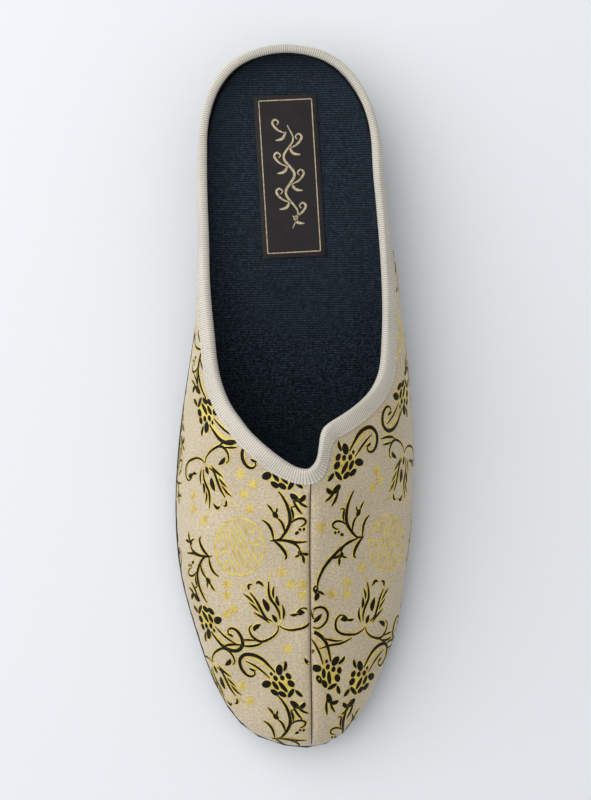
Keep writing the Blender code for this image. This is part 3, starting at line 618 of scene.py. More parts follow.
class Cloth:
    """The upper as flat cloth: run is the distance from the toe, reach the distance down from the seam."""

    def __init__(self, scene):
        self.last, self.sizes = Last(scene.slipper_last), scene.slipper_brocade
        self.stations = self.last.stations(self.sizes.pitch)
        self.runs = self.last.run_of(self.stations)
        self.throat_run = float(self.last.run_of(THROAT_ALONG))
        self.end_run = float(self.runs[-1])
        self.tables, self.lengths, self.collars = {}, {}, {}
        for side in (INNER, OUTER):
            self.tables[side], self.lengths[side], self.collars[side] = self.lay(side)

    def lay(self, side):
        """One side's section lines as evenly spaced points, their lengths, and the collar's reach on each."""
        a, b, c, d = (part[:, None, :] for part in self.last.handles(side, self.stations))
        t = np.linspace(1, 0, SECTION_POINTS)[None, :, None]
        rest = 1 - t
        lines = a * rest**3 + b * 3 * rest * rest * t + c * 3 * rest * t * t + d * t**3
        heights = smooth_columns(COLLAR[side], self.stations)[:, 0] * self.last.sizes.instep_height
        table = np.zeros((len(lines), CLOTH_ROWS + 1, 3))
        lengths, collars = np.zeros(len(lines)), np.zeros(len(lines))
        for i, line in enumerate(lines):
            reach = reach_along(line)
            lengths[i] = reach[-1]
            table[i] = spaced(line, reach, np.linspace(0, reach[-1], CLOTH_ROWS + 1))
            if self.stations[i] < THROAT_ALONG:
                above = max(int(np.argmax(line[:, 2] < heights[i])) - 1, 0)
                drop = max(line[above, 2] - line[above + 1, 2], 1e-9)
                share = np.clip((line[above, 2] - heights[i]) / drop, 0, 1)
                collars[i] = reach[above] + share * (reach[above + 1] - reach[above])
        return table, lengths, collars

    def flat(self, side, run, reach):
        """Places on the smooth shape, without its relief."""
        run, reach = np.asarray(run, float), np.asarray(reach, float)
        i = np.clip(np.searchsorted(self.runs, run) - 1, 0, len(self.runs) - 2)
        t = np.clip((run - self.runs[i]) / (self.runs[i + 1] - self.runs[i]), 0, 1)
        table, place = self.tables[side], 0.0
        for j, weight in ((i, 1 - t), (i + 1, t)):
            share = np.clip(reach / np.maximum(self.lengths[side][j], 1e-6), 0, 1) * CLOTH_ROWS
            k = np.minimum(share.astype(int), CLOTH_ROWS - 1)
            part = (share - k)[..., None]
            place = place + weight[..., None] * (table[j, k] * (1 - part) + table[j, k + 1] * part)
        return place

    def foot(self, side, run):
        """Reach of the sewn edge."""
        return np.interp(run, self.runs, self.lengths[side])

    def collar(self, side, run):
        """Reach of the collar, nought over the vamp."""
        return np.interp(run, self.runs, self.collars[side])

    def normals(self, side, run, reach):
        """Outward directions, the same on both sides where the halves meet over the top."""
        step, blend = 0.7 * MM, 2.2 * MM
        foot = self.foot(side, run)
        low, high = np.maximum(run - step, 0), np.minimum(run + step, self.end_run)
        along = self.flat(side, high, reach) - self.flat(side, low, reach)
        near, far = np.maximum(reach - step, 0), np.minimum(reach + step, foot)
        near = np.minimum(near, np.maximum(far - step, 0))
        across = self.flat(side, run, far) - self.flat(side, run, near)
        normal = unit(np.cross(along, across) * -side)
        zero = np.zeros_like(reach)
        ridge = self.flat(side, high, zero) - self.flat(side, low, zero)
        over = unit(np.stack([np.zeros_like(run), -ridge[..., 2], ridge[..., 1]], axis=-1))
        over = over * np.sign(over[..., 2:3] + 1e-9)
        share = np.exp(-((reach / blend) ** 2))[..., None]
        return unit(normal * (1 - share) + over * share)

    def relief(self, side, run, reach):
        """Height of the sewn-in shape: the seam with its gathers, soft dents, and folds at the sewn edge."""
        sizes = self.sizes
        # Places and lengths of the waves are in millimetres here
        x, y = run / MM, reach / MM
        to_throat, to_end = self.throat_run / MM - x, self.end_run / MM - x
        to_foot = self.foot(side, run) / MM - y
        on_seam = smooth_step((to_throat - 5.5) / 5) * smooth_step((x - 1.5) / 7)
        valley = -sizes.seam_depth * np.exp(-((reach / sizes.seam_width) ** 2))
        swell = sizes.shoulder * np.exp(-(((y - 3.4) / 2.4) ** 2))
        wave = np.sin(2 * np.pi * run / sizes.pucker_pitch + 1.3 * np.sin(x / 9) + side)
        gathers = sizes.pucker * wave * np.exp(-y / 3.2) * smooth_step(y / 1.2)
        inside = smooth_step(to_foot / 6) * smooth_step(y / 3)
        inside = inside * smooth_step(x / 12) * smooth_step(to_end / 12)
        broad = 0.45 * np.sin(x / 7.1 + 2.1 * side) * np.sin(y / 6.3 + 0.6)
        slanting = 0.4 * np.sin(x / 12.7 - y / 8.9 + side)
        small = 0.25 * np.sin(x / 4.3 + y / 11.0) * np.sin(y / 3.9 + 1.7 * side)
        folds = np.sin(2 * np.pi * x / 5.6 + 1.6 * np.sin(x / 17))
        pulled = smooth_step((9 - to_foot) / 9) * smooth_step(to_foot / 0.8) * smooth_step(x / 6)
        dents = sizes.dent * inside * (broad + slanting + small)
        return on_seam * (valley + swell + gathers) + dents + sizes.pull * pulled * folds

    def place(self, side, run, reach, lift=0.0):
        """Places on the sewn shape, raised by lift."""
        run, reach = np.asarray(run, float), np.asarray(reach, float)
        height = self.relief(side, run, reach) + lift
        return self.flat(side, run, reach) + self.normals(side, run, reach) * height[..., None]


def grid_of(table, flat=None):
    """A grid whose corners are placed at a table of points, with its cloth map if given."""
    bm = bmesh.new()
    along, across = table.shape[:2]
    bmesh.ops.create_grid(bm, x_segments=across - 1, y_segments=along - 1, size=1)
    bm.verts.index_update()
    for vert, point in zip(bm.verts, table.reshape(-1, 3)):
        vert.co = point
    if flat is not None:
        layer = bm.loops.layers.uv.new("cloth")
        flat = flat.reshape(-1, 2)
        for face in bm.faces:
            for loop in face.loops:
                loop[layer].uv = flat[loop.vert.index]
    return bm


def weld(bm, distance=0.02 * MM):
    """Closes a grid's own seams and turns its faces outwards."""
    bmesh.ops.remove_doubles(bm, verts=bm.verts, dist=distance)
    bmesh.ops.recalc_face_normals(bm, faces=bm.faces)


def piece_of(name, bm, materials, smooth_angle=80):
    """An object of this mesh at the origin, riding on the slipper's body."""
    mesh = bpy.data.meshes.new(name)
    bm.to_mesh(mesh)
    bm.free()
    mesh.shade_smooth()
    mesh.set_sharp_from_angle(angle=math.radians(smooth_angle))
    for material in materials:
        mesh.materials.append(material)
    piece = bpy.data.objects.new(name, mesh)
    bpy.context.scene.collection.objects.link(piece)
    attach(piece, BODY)
    return piece


def thicken(piece, thickness):
    """A wall that grows inwards from the piece's face."""
    wall = piece.modifiers.new("wall", "SOLIDIFY")
    wall.thickness = thickness
    wall.offset = -1
    return wall


class Shader:
    """Makes a node material step by step: its tone so far starts as this many times its base colour."""

    def __init__(self, name, base, start=1.0, cloth=False):
        self.material = bpy.data.materials.new(name)
        self.material.use_nodes = True
        self.tree = self.material.node_tree
        self.surface = self.tree.nodes["Principled BSDF"]
        self.base, self.cloth, self.normal = base, cloth, None
        self.tone = self.times(start)

    def times(self, factor):
        """The base colour, this many times as bright."""
        return tuple(min(1.0, channel * factor) for channel in self.base)

    def fill(self, node, inputs):
        """Gives a node's inputs, by name or number, their constants or other nodes' outputs."""
        for key, value in inputs.items():
            socket = node.inputs[key]
            if isinstance(value, bpy.types.NodeSocket):
                self.tree.links.new(value, socket)
            elif socket.type == "RGBA":
                socket.default_value = (*value, 1)
            else:
                socket.default_value = value

    def node(self, kind, output, inputs, **settings):
        """One output of a new node."""
        node = self.tree.nodes.new(kind)
        for key, value in settings.items():
            setattr(node, key, value)
        self.fill(node, inputs)
        return node.outputs[output]

    def place(self, scale=(1, 1, 1), turn=0.0):
        """Coordinates in metres: of the object, or of the cloth map."""
        if self.cloth:
            source = self.node("ShaderNodeUVMap", "UV", {}, uv_map="cloth")
        else:
            source = self.node("ShaderNodeTexCoord", "Object", {})
        inputs = {"Vector": source, "Scale": scale, "Rotation": (0, 0, turn)}
        return self.node("ShaderNodeMapping", "Vector", inputs)

    def noise(self, vector, scale, detail=3.0, roughness=0.5):
        inputs = {"Vector": vector, "Scale": scale, "Detail": detail, "Roughness": roughness}
        return self.node("ShaderNodeTexNoise", "Fac", inputs)

    def wave(self, vector, scale, distortion, axis):
        inputs = {"Vector": vector, "Scale": scale, "Distortion": distortion, "Detail": 1.0}
        return self.node("ShaderNodeTexWave", "Fac", inputs, bands_direction=axis, wave_profile="SIN")

    def range(self, value, low, high, start=0.0, end=1.0):
        inputs = {"Value": value, "From Min": low, "From Max": high, "To Min": start, "To Max": end}
        return self.node("ShaderNodeMapRange", "Result", inputs)

    def math(self, operation, first, second):
        return self.node("ShaderNodeMath", 0, {0: first, 1: second}, operation=operation)

    def mix(self, factor, target):
        """Turns the tone towards a colour, or towards a number of times the base colour."""
        if isinstance(target, float):
            target = self.times(target)
        inputs = {0: factor, 6: self.tone, 7: target}
        self.tone = self.node("ShaderNodeMix", 2, inputs, data_type="RGBA")

    def tint(self, target, pattern, low, high, end=1.0, start=0.0):
        """Mixes by a pattern: start where it is low, end where it is high."""
        self.mix(self.range(pattern, low, high, start, end), target)

    def bump(self, height, distance, strength):
        """Relief on top of the relief so far."""
        inputs = {"Height": height, "Distance": distance, "Strength": strength}
        if self.normal:
            inputs["Normal"] = self.normal
        self.normal = self.node("ShaderNodeBump", "Normal", inputs)

    def finish(self, **values):
        """The material, with its tone, its relief and these values on the surface's own sockets."""
        if self.normal:
            self.fill(self.surface, {"Normal": self.normal})
        inputs = {key.replace("_", " "): value for key, value in values.items()}
        self.fill(self.surface, {"Base Color": self.tone, **inputs})
        return self.material


def satin_ground(sizes):
    """Ivory satin: fine weave with tie-down points, gold flecks of the weft, and soft shading of handling."""
    shader = Shader("satin_ground", sizes.ground, 0.86, cloth=True)
    flat = shader.place()
    warp = shader.wave(flat, WAVE_UNIT / (0.55 * MM), 0.8, "X")
    weft = shader.wave(flat, WAVE_UNIT / (0.42 * MM), 0.8, "Y")
    twill = shader.wave(shader.place(turn=0.6), WAVE_UNIT / (0.8 * MM), 1.6, "X")
    weave = shader.math("ADD", shader.math("MULTIPLY", warp, weft), shader.math("MULTIPLY", twill, 0.5))
    cloud = shader.noise(flat, 42)
    fleck = shader.noise(shader.place(scale=(0.6, 1.0, 1.0)), 1500, 3.0, 0.7)
    glint = shader.noise(shader.place(scale=(1.0, 0.6, 1.0)), 1250, 2.0, 0.6)
    shader.tint(1.06, cloud, 0.35, 0.65)
    shader.tint(1.28, weave, 0.1, 1.2, 0.45)
    shader.tint(0.45, fleck, 0.42, 0.66, 0.62)
    shader.tint(sizes.fleck, glint, 0.53, 0.64, 0.65)
    shader.bump(cloud, 0.3 * MM, 0.4)
    shader.bump(weave, 0.09 * MM, 1.0)
    matt = shader.range(weave, 0.0, 1.4, 0.42, 0.62)
    return shader.finish(Roughness=matt, Sheen_Weight=0.12, Sheen_Roughness=0.4, Specular_IOR_Level=0.45)


def dark_figure(sizes):
    """Blue-black satin floats of the figures."""
    shader = Shader("dark_figure", sizes.dark, cloth=True)
    floats = shader.wave(shader.place(turn=0.35), 520, 1.0, "Y")
    cloud = shader.noise(shader.place(), 900, 2.0, 0.6)
    shader.tint(2.0, floats, 0.2, 0.9)
    shader.tint(sizes.tied, cloud, 0.62, 0.80, 0.5)
    shader.bump(floats, 0.05 * MM, 0.8)
    return shader.finish(Roughness=0.55, Specular_IOR_Level=0.13)


def gold_thread(sizes):
    """Gold metal yarn: bright where the yarn floats, duller where it is tied down."""
    shader = Shader("gold_thread", sizes.gold, 0.62, cloth=True)
    turns = shader.wave(shader.place(turn=0.8), 640, 1.5, "X")
    dull = shader.noise(shader.place(), 330, 3.0, 0.6)
    shader.tint(1.2, turns, 0.15, 0.85)
    shader.tint(sizes.bronze, dull, 0.46, 0.70)
    shader.bump(turns, 0.06 * MM, 0.9)
    return shader.finish(Metallic=0.45, Roughness=0.38)


def lining_cloth(sizes):
    """Smooth black lining with a faint weave."""
    shader = Shader("lining_cloth", sizes.lining)
    place = shader.place()
    weave = shader.math("MULTIPLY", shader.wave(place, 400, 0.5, "Y"), shader.wave(place, 400, 0.5, "Z"))
    dust = shader.noise(place, 800, 2.0, 0.7)
    shader.tint(4.0, dust, 0.6, 0.8, 0.5)
    shader.bump(weave, 0.08 * MM, 0.7)
    return shader.finish(Roughness=0.7, Sheen_Weight=0.3)


def grosgrain(sizes, pitch):
    """Cream ribbed tape: the ribs are in the mesh, the yarns of each rib and the shade between are here."""
    shader = Shader("grosgrain", sizes.cream, 0.9, cloth=True)
    flat = shader.place()
    groove = shader.wave(flat, WAVE_UNIT / pitch, 0.0, "Y")
    yarn = shader.wave(flat, 900, 0.8, "X")
    twist = shader.wave(shader.place(turn=0.6), 1300, 1.0, "Y")
    cloud = shader.noise(flat, 60)
    soil = shader.noise(flat, 380, 4.0, 0.65)
    shader.tint(1.08, cloud, 0.3, 0.7)
    shader.tint(0.72, yarn, 0.0, 0.5, 0.0, 0.35)
    shader.tint(0.75, soil, 0.58, 0.78, 0.45)
    shader.tint(0.48, groove, 0.45, 1.0, 0.9)
    shader.bump(yarn, 0.06 * MM, 0.8)
    shader.bump(twist, 0.04 * MM, 0.7)
    return shader.finish(Roughness=0.75, Sheen_Weight=0.15)


def sewing_thread(name, base):
    """A twisted sewing thread."""
    shader = Shader(name, base, 0.7)
    place = shader.place(turn=0.6)
    twist = shader.wave(place, 1800, 0.5, "DIAGONAL")
    fuzz = shader.noise(place, 2600, 2.0, 0.6)
    shader.mix(twist, 1.15)
    shader.tint(1.3, fuzz, 0.5, 0.8, 0.5)
    shader.bump(twist, 0.05 * MM, 0.8)
    return shader.finish(Roughness=0.65)


def terry_pile(sizes):
    """Navy-black looped pile in cross rows, with paler worn patches, and paler towards the heel."""
    shader = Shader("terry_pile", sizes.navy, 0.4)
    place = shader.place()
    loops = shader.noise(place, 1250, 2.0, 0.7)
    tufts = shader.noise(place, 420, 4.0, 0.7)
    worn = shader.noise(place, 24, 3.0, 0.55)
    rows = shader.wave(place, WAVE_UNIT / sizes.row_pitch, 1.2, "Y")
    to_heel = shader.node("ShaderNodeSeparateXYZ", "Y", {0: place})
    shader.tint(4.3, loops, 0.40, 0.64)
    shader.tint(2.6, worn, 0.45, 0.7, 0.5)
    shader.tint(0.5, tufts, 0.45, 0.65, 0.55)
    # Paler towards the heel, along y
    shader.tint(3.0, to_heel, 0.02, 0.11, 0.45)
    shader.tint(0.30, rows, 0.2, 0.9, 0.75)
    shader.bump(tufts, 0.4 * MM, 0.9)
    shader.bump(loops, 0.3 * MM, 1.0)
    return shader.finish(Roughness=0.95, Sheen_Weight=0.04, Sheen_Roughness=0.6, Specular_IOR_Level=0.1)


def patch_cloth(sizes):
    """Dark brown printed satin of the patch."""
    shader = Shader("patch_cloth", sizes.brown, 0.8)
    place = shader.place()
    weave = shader.math("MULTIPLY", shader.wave(place, 500, 0.4, "X"), shader.wave(place, 500, 0.4, "Y"))
    cloud = shader.noise(place, 160)
    shader.tint(1.5, cloud, 0.3, 0.7)
    shader.mix(shader.math("MULTIPLY", weave, 0.5), 2.4)
    shader.bump(weave, 0.05 * MM, 0.7)
    return shader.finish(Roughness=0.55, Specular_IOR_Level=0.3)


def gold_print(sizes):
    """Pale gold printed line."""
    shader = Shader("gold_print", sizes.gold)
    wear = shader.noise(shader.place(), 900, 3.0, 0.6)
    shader.tint(0.5, wear, 0.4, 0.7)
    shader.bump(wear, 0.03 * MM, 0.6)
    return shader.finish(Metallic=0.5, Roughness=shader.range(wear, 0.3, 0.7, 0.35, 0.6))


def sole_rubber(sizes):
    """Matt dark rubber with moulding grain and scuffed edges."""
    shader = Shader("sole_rubber", sizes.rubber, 0.8)
    place = shader.place()
    grain = shader.noise(place, 1700, 2.0, 0.6)
    cloud = shader.noise(place, 90, 4.0, 0.6)
    scuff = shader.noise(shader.place(scale=(1, 0.25, 1)), 420, 3.0, 0.7)
    shader.tint(1.7, cloud, 0.35, 0.7)
    shader.tint(sizes.scuff, scuff, 0.62, 0.8, 0.5)
    shader.bump(cloud, 0.3 * MM, 0.3)
    shader.bump(grain, 0.2 * MM, 0.6)
    return shader.finish(Roughness=shader.range(grain, 0.3, 0.7, 0.55, 0.8))


def floor_paint(sizes):
    """Pale matt paint of the floor."""
    shader = Shader("floor_paint", sizes.floor_colour, 0.99)
    shader.mix(shader.noise(shader.place(), 300, 2.0), 1.01)
    return shader.finish(Roughness=0.9)


class SLIPPER_OT_upper(bpy.types.Operator):
    """Build the brocade upper with its centre seam, gathers and lining"""

    bl_idname = "slipper.upper"
    bl_label = "Upper"

    def execute(self, context):
        sizes = context.scene.slipper_brocade
        table, flat = self.corners(Cloth(context.scene))
        bm = grid_of(table, flat)
        weld(bm)
        upper = piece_of("brocade_upper", bm, [satin_ground(sizes), lining_cloth(sizes)], 50)
        wall = thicken(upper, sizes.wall)
        wall.use_rim = True
        wall.material_offset = 1
        wall.material_offset_rim = 1
        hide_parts("upper")
        return {"FINISHED"}

    def corners(self, cloth):
        """Places of the mesh and of its cloth map, row by row from the toe round the outer side and back."""
        near = np.array(NEAR_SEAM) * MM
        table, flat = [], []
        strips = [(OUTER, i) for i in range(len(cloth.runs))]
        strips += [(INNER, i) for i in range(len(cloth.runs) - 2, -1, -1)]
        for side, i in strips:
            start = cloth.collars[side][i]
            span = cloth.lengths[side][i] - start
            first = np.minimum(near, span * np.linspace(0, 0.18, len(near)))
            rest = np.linspace(first[-1], span, UPPER_COLUMNS - len(near) + 1)[1:]
            reach = start + np.concatenate([first, rest])
            runs = np.full_like(reach, cloth.runs[i])
            table.append(cloth.place(side, runs, reach))
            flat.append(np.column_stack([reach * side, runs]))
        return np.array(table), np.array(flat)


def outside_of(name):
    """A search tree over the outer face of a piece, before its wall gets its thickness."""
    bm = bmesh.new()
    bm.from_mesh(bpy.data.objects[name].data)
    tree = BVHTree.FromBMesh(bm)
    bm.free()
    return tree


def add_stitch(bm, start, end, up, radius):
    """One stitch: a small ball drawn out between its two holes."""
    ball = bmesh.ops.create_icosphere(bm, subdivisions=1, radius=1)["verts"]
    middle, span = (start + end) / 2, end - start
    along = span.normalized()
    across = up.cross(along).normalized()
    turn = Matrix((along, across, along.cross(across))).transposed()
    stretch = Matrix.Diagonal((span.length / 2 + radius * 0.6, radius, radius * 0.75))
    bmesh.ops.transform(bm, verts=ball, matrix=Matrix.Translation(middle) @ (turn @ stretch).to_4x4())


def collar_ring(cloth, pitch):
    """The collar edge as evenly spaced points from the throat round the heel and back, and its length."""
    bend_end = cloth.throat_run + 4 * MM
    close = np.linspace(cloth.throat_run, bend_end, 20)[:-1]
    runs = np.concatenate([close, np.arange(bend_end, cloth.end_run, 0.5 * MM), [cloth.end_run]])
    outer, inner = (cloth.flat(side, runs, cloth.collar(side, runs)) for side in (OUTER, INNER))
    closed = np.vstack([outer, inner[::-1][1:-1], outer[:1]])
    reach = reach_along(closed)
    even = np.linspace(0, reach[-1], round(reach[-1] / pitch), endpoint=False)
    return spaced(closed, reach, even), reach[-1]


def smooth_round(rows, rounds):
    """Rows round a ring, each drawn towards its neighbours."""
    for _ in range(rounds):
        rows = (np.roll(rows, 1, axis=0) + 2 * rows + np.roll(rows, -1, axis=0)) / 4
    return rows


def finer_round(rows, factor):
    """Rows with this many times as many places round the ring."""
    t = (np.arange(factor) / factor).reshape(1, factor, 1, 1)
    between = rows[:, None] * (1 - t) + np.roll(rows, -1, axis=0)[:, None] * t
    return between.reshape(-1, *rows.shape[1:])


def shown_leg(count, total):
    """How much of the tape's outer leg shows at each place: little on the upright side of the peak."""
    # Millimetres along the collar from the throat: all the way round, and the shorter way
    past = np.arange(count) / count * total / MM
    from_throat = np.minimum(past, total / MM - past)
    upright = smooth_step((past - 1.5) / 3) * smooth_step((15 - past) / 4)
    return 1 - 0.42 * upright - 0.12 * smooth_step((14 - from_throat) / 8) * (1 - upright)


class SLIPPER_OT_tape(bpy.types.Operator):
    """Fold the ribbed tape over the collar and sew it down"""

    bl_idname = "slipper.tape"
    bl_label = "Collar tape"

    def execute(self, context):
        sizes = context.scene.slipper_tape
        outside = outside_of("brocade_upper")
        ring, total = collar_ring(Cloth(context.scene), sizes.rib_pitch)
        ring = smooth_round(ring, 2)
        normals = unit(np.array([outside.find_nearest(Vector(point))[1] for point in ring]))
        normals = unit(smooth_round(normals, 10))
        tangents = np.roll(ring, -2, axis=0) - np.roll(ring, 2, axis=0)
        downs = unit(smooth_round(unit(np.cross(tangents, normals)), 14))
        shown = shown_leg(len(ring), total)
        legs = self.legs(outside, zip(ring, downs, shown), sizes, context.scene.slipper_brocade.wall)
        fine = finer_round(smooth_round(legs, 4), RIB_STEPS)
        self.tape(fine, sizes, total)
        self.stitches(fine, sizes, total)
        return {"FINISHED"}

    def legs(self, tree, places, sizes, wall):
        """For each place on the collar: the points of the tape's inner skin and its outward directions."""
        rows = []
        for point, down, shown in places:
            start, heading = Vector(point), Vector(down)
            outer, inner = [], []
            for leg, points in ((sizes.outer_leg * shown, outer), (sizes.inner_leg, inner)):
                for share in LEG_SHARES:
                    target = start + heading * leg * share
                    for _ in range(3):
                        place, normal, _, _ = tree.find_nearest(target)
                        target = start + (place - start).normalized() * leg * share
                    points.append((place, normal))
            normal = outer[-1][1].normalized()
            middle = start - normal * wall / 2
            row = [(place + facing * sizes.gap, facing) for place, facing in outer]
            for turn in map(math.radians, FOLD_TURNS):
                sideways, upwards = normal * math.cos(turn), heading * math.sin(turn)
                fold = middle + sideways * (wall / 2 + sizes.gap) - upwards * sizes.gap
                row.append((fold, sideways - upwards))
            row += [(place - facing * (wall + sizes.gap), -facing) for place, facing in inner[::-1]]
            rows.append([(*place, *facing) for place, facing in row])
        return np.array(rows)

    def tape(self, fine, sizes, total):
        """The ribbed tape itself, drawn in along both rows of stitches."""
        count = len(fine)
        inner, facing = fine[:, :, :3], fine[:, :, 3:]
        phase = np.arange(count) / RIB_STEPS * 2 * np.pi
        rib = (0.5 + 0.5 * np.cos(phase))[:, None, None] * sizes.rib_depth
        sewn = np.zeros((1, inner.shape[1], 1))
        sewn[:, SEWN_COLUMN] = sewn[:, -1 - SEWN_COLUMN] = sizes.sewn_depth
        outer = inner + facing * (sizes.thickness - sizes.rib_depth + rib - sewn)
        loop = np.concatenate([outer, inner[:, ::-1], outer[:, :1]], axis=1)
        rows = np.concatenate([loop, loop[:1]], axis=0)
        along = np.linspace(0, total, count + 1)[:, None]
        flat = np.stack(np.broadcast_arrays(reach_along(rows[0])[None, :], along), axis=-1)
        bm = grid_of(rows, flat)
        weld(bm, 0.005 * MM)
        tape = piece_of("collar_tape", bm, [grosgrain(sizes, total * RIB_STEPS / count)])
        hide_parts("collar_binding")

    def stitches(self, fine, sizes, total):
        """A row of short stitches along the sewn line of the outer leg and another inside."""
        bm = bmesh.new()
        count, stitches = len(fine), round(total / sizes.stitch_pitch)
        lift = sizes.thickness - 0.14 * MM
        for column in (SEWN_COLUMN, fine.shape[1] - 1 - SEWN_COLUMN):
            for i in range(stitches):
                at = int(i * count / stitches)
                after = int(at + TAPE_STITCH * count / stitches) % count
                ends, ups = [], []
                for row in (fine[at, column], fine[after, column]):
                    ends.append(Vector(row[:3] + row[3:] * lift))
                    ups.append(Vector(row[3:]))
                add_stitch(bm, *ends, (ups[0] + ups[1]).normalized(), sizes.stitch_radius)
        piece = piece_of("tape_stitches", bm, [sewing_thread("tape_thread", sizes.thread)])


def turned(points, degrees, mirror=1):
    """Chart points turned anticlockwise, after a mirroring of x if wanted."""
    turn = math.radians(degrees)
    x, y = np.transpose(np.array(points, float) * (mirror, 1))
    return np.column_stack([x * math.cos(turn) - y * math.sin(turn), x * math.sin(turn) + y * math.cos(turn)])


def figure_strokes(kind):
    """The strokes of one figure, upright on the inner half."""
    if kind == "medallion":
        turns = np.linspace(0, 2 * np.pi, 37)
        yield "gold", 0.80, np.column_stack([np.cos(turns), np.sin(turns)]) * MEDALLION_RADII
        for line in MEDALLION_LINES:
            for bar in zip(line, line[1:]):
                yield "gold", 0.78, turned(bar, MEDALLION_LEAN) * 0.96
    elif kind == "star":
        for turn in np.arange(8) * math.pi / 4 + 0.2:
            yield "gold", 0.62, np.outer(STAR_RAY, (math.cos(turn), math.sin(turn)))
    else:
        mirror = -1 if kind.startswith("mirrored") else 1
        for ink, width, line in CHARTS[kind.split()[-1]]:
            yield ink, width, turned(line, 0, mirror)


def figure_places(side):
    """Every figure of one half: the charted ones, then their repeats where no twin lies close by."""
    placed = []
    for kind, run, reach, turn in FIGURES[side]:
        spots = [(run, reach)]
        if reach > WALL_REACH:
            further = [run + REPEAT_RUN * step for step in (1, 2, 3)]
            spots += [(later, reach + REPEAT_DROP) for later in further if later > VAMP_RUN]
        for shift in (0, -REPEAT_RUN, REPEAT_RUN):
            low = (run + REPEAT_SLANT[0] + shift, reach + REPEAT_SLANT[1])
            if low[1] > FLANK_REACH and 0 < low[0] < VAMP_RUN:
                spots.append(low)
        for spot in spots:
            twins = [other for other in placed if other[0] == kind and other[3] == turn]
            if all(math.dist(spot, other[1:3]) > TWIN_GAP for other in twins):
                placed.append((kind, *spot, turn))
    for run, reach in STARS[side]:
        placed.append(("star", run, reach, 0))
        if reach > STAR_REACH:
            placed.append(("star", run + REPEAT_RUN, reach + STAR_DROP, 0))
    return placed


def stroke_profile(ink, count):
    """Width of a stroke at each of its places, as a share of the widest."""
    shares = np.linspace(0, 1, count)
    if ink == "gold":
        return 0.45 + 0.55 * np.sqrt(np.sin(np.pi * np.clip(shares, 0.02, 0.98)))
    if ink == "ink":
        return 0.30 + 0.70 * np.sin(np.pi * np.clip(shares, 0.03, 0.97)) ** 0.7
    if ink == "cell":
        return np.sqrt(1 - (2 * np.clip(shares, 0.02, 0.98) - 1) ** 2)
    return np.sin(np.pi * np.clip(shares, 0.04, 0.96) ** 0.85) ** 0.6


class Figures:
    """Gathers the strokes of one half as strips on the cloth and builds them in one mesh."""

    def __init__(self, cloth, side):
        self.cloth, self.side = cloth, side
        self.strips = []

    def add(self, ink, width, line):
        """Adds one stroke: its line as run and reach, in metres."""
        sizes, low = self.cloth.sizes, 0.03 * MM
        tangents = unit(np.gradient(line, axis=0))
        across = np.column_stack([-tangents[:, 1], tangents[:, 0]])
        half = width * MM / 2 * stroke_profile(ink, len(line))
        if ink == "gold":
            offsets = (-half, half * 0, half)
            lifts = (low, sizes.figure_lift * 0.8, low)
        else:
            half = half * (sizes.boldness if ink == "ink" else 1.0)
            offsets = (-half - sizes.gold_edge * 0.7, -half, half, half + sizes.gold_edge * 1.4)
            lifts = (low, sizes.figure_lift, sizes.figure_lift, low)
        flat = line[:, None, :] + across[:, None, :] * np.stack(offsets, axis=1)[:, :, None]
        self.clip(flat, line, lifts)

    def clip(self, flat, line, lifts):
        """Keeps the rows on the cloth: off the seam, off the sewn edge, not under the tape or at the heel."""
        cloth, side = self.cloth, self.side
        run, reach = line.T
        low = np.where(run > cloth.throat_run, cloth.collar(side, run) + TAPE_PLAIN, SEAM_PLAIN)
        keep = (reach > low) & (reach < cloth.foot(side, run) - EDGE_PLAIN)
        keep = keep & (run > EDGE_PLAIN) & (run < cloth.end_run - HEEL_PLAIN)
        edges = np.flatnonzero(np.diff(np.concatenate([[0], keep.astype(int), [0]])))
        for start, end in zip(edges[::2], edges[1::2]):
            if end - start >= 2:
                strip = flat[start:end].copy()
                foot = cloth.foot(side, strip[:, :, 0]) - 0.3 * MM
                strip[:, :, 1] = np.minimum(np.maximum(strip[:, :, 1], 0.25 * MM), foot)
                self.strips.append((strip, lifts))

    def build(self, name, materials):
        """One mesh of all strips: the middles of dark strokes in the first material, the rest in gold."""
        flat = np.concatenate([strip.reshape(-1, 2) for strip, _ in self.strips])
        lifts = np.concatenate([np.tile(lifts, len(strip)) for strip, lifts in self.strips])
        places = self.cloth.place(self.side, flat[:, 0], flat[:, 1], lifts)
        bm = bmesh.new()
        layer = bm.loops.layers.uv.new("cloth")
        slots, start = [], 0
        for strip, _ in self.strips:
            rows, columns = strip.shape[:2]
            verts = bmesh.ops.create_grid(bm, x_segments=columns - 1, y_segments=rows - 1, size=1)["verts"]
            for vert, point in zip(verts, places[start : start + rows * columns]):
                vert.co = point
            slots += ([1, 0, 1] if columns == 4 else [1, 1]) * (rows - 1)
            start += rows * columns
        bm.verts.index_update()
        bm.normal_update()
        outside = outside_of("brocade_upper")
        for face, slot in zip(bm.faces, slots):
            face.material_index = slot
            for loop in face.loops:
                run, reach = flat[loop.vert.index]
                loop[layer].uv = (reach * self.side, run)
            if face.normal.dot(outside.find_nearest(face.calc_center_median())[1]) < 0:
                face.normal_flip()
        piece = piece_of(name, bm, materials)


class SLIPPER_OT_figures(bpy.types.Operator):
    """Weave the flowers, scrolls, medallions and stars into the upper"""

    bl_idname = "slipper.figures"
    bl_label = "Woven figures"

    def execute(self, context):
        sizes = context.scene.slipper_brocade
        cloth = Cloth(context.scene)
        materials = [dark_figure(sizes), gold_thread(sizes)]
        for side, name in ((INNER, "figures_inner"), (OUTER, "figures_outer")):
            figures = Figures(cloth, side)
            for kind, run, reach, turn in figure_places(side):
                for ink, width, line in figure_strokes(kind):
                    fine = turned(smooth_line(line, STROKE_STEPS[ink]), turn + CLOTH_TURN[side])
                    figures.add(ink, width, np.column_stack([run + fine[:, 1], reach - fine[:, 0]]) * MM)
            figures.build(name, materials)
        return {"FINISHED"}


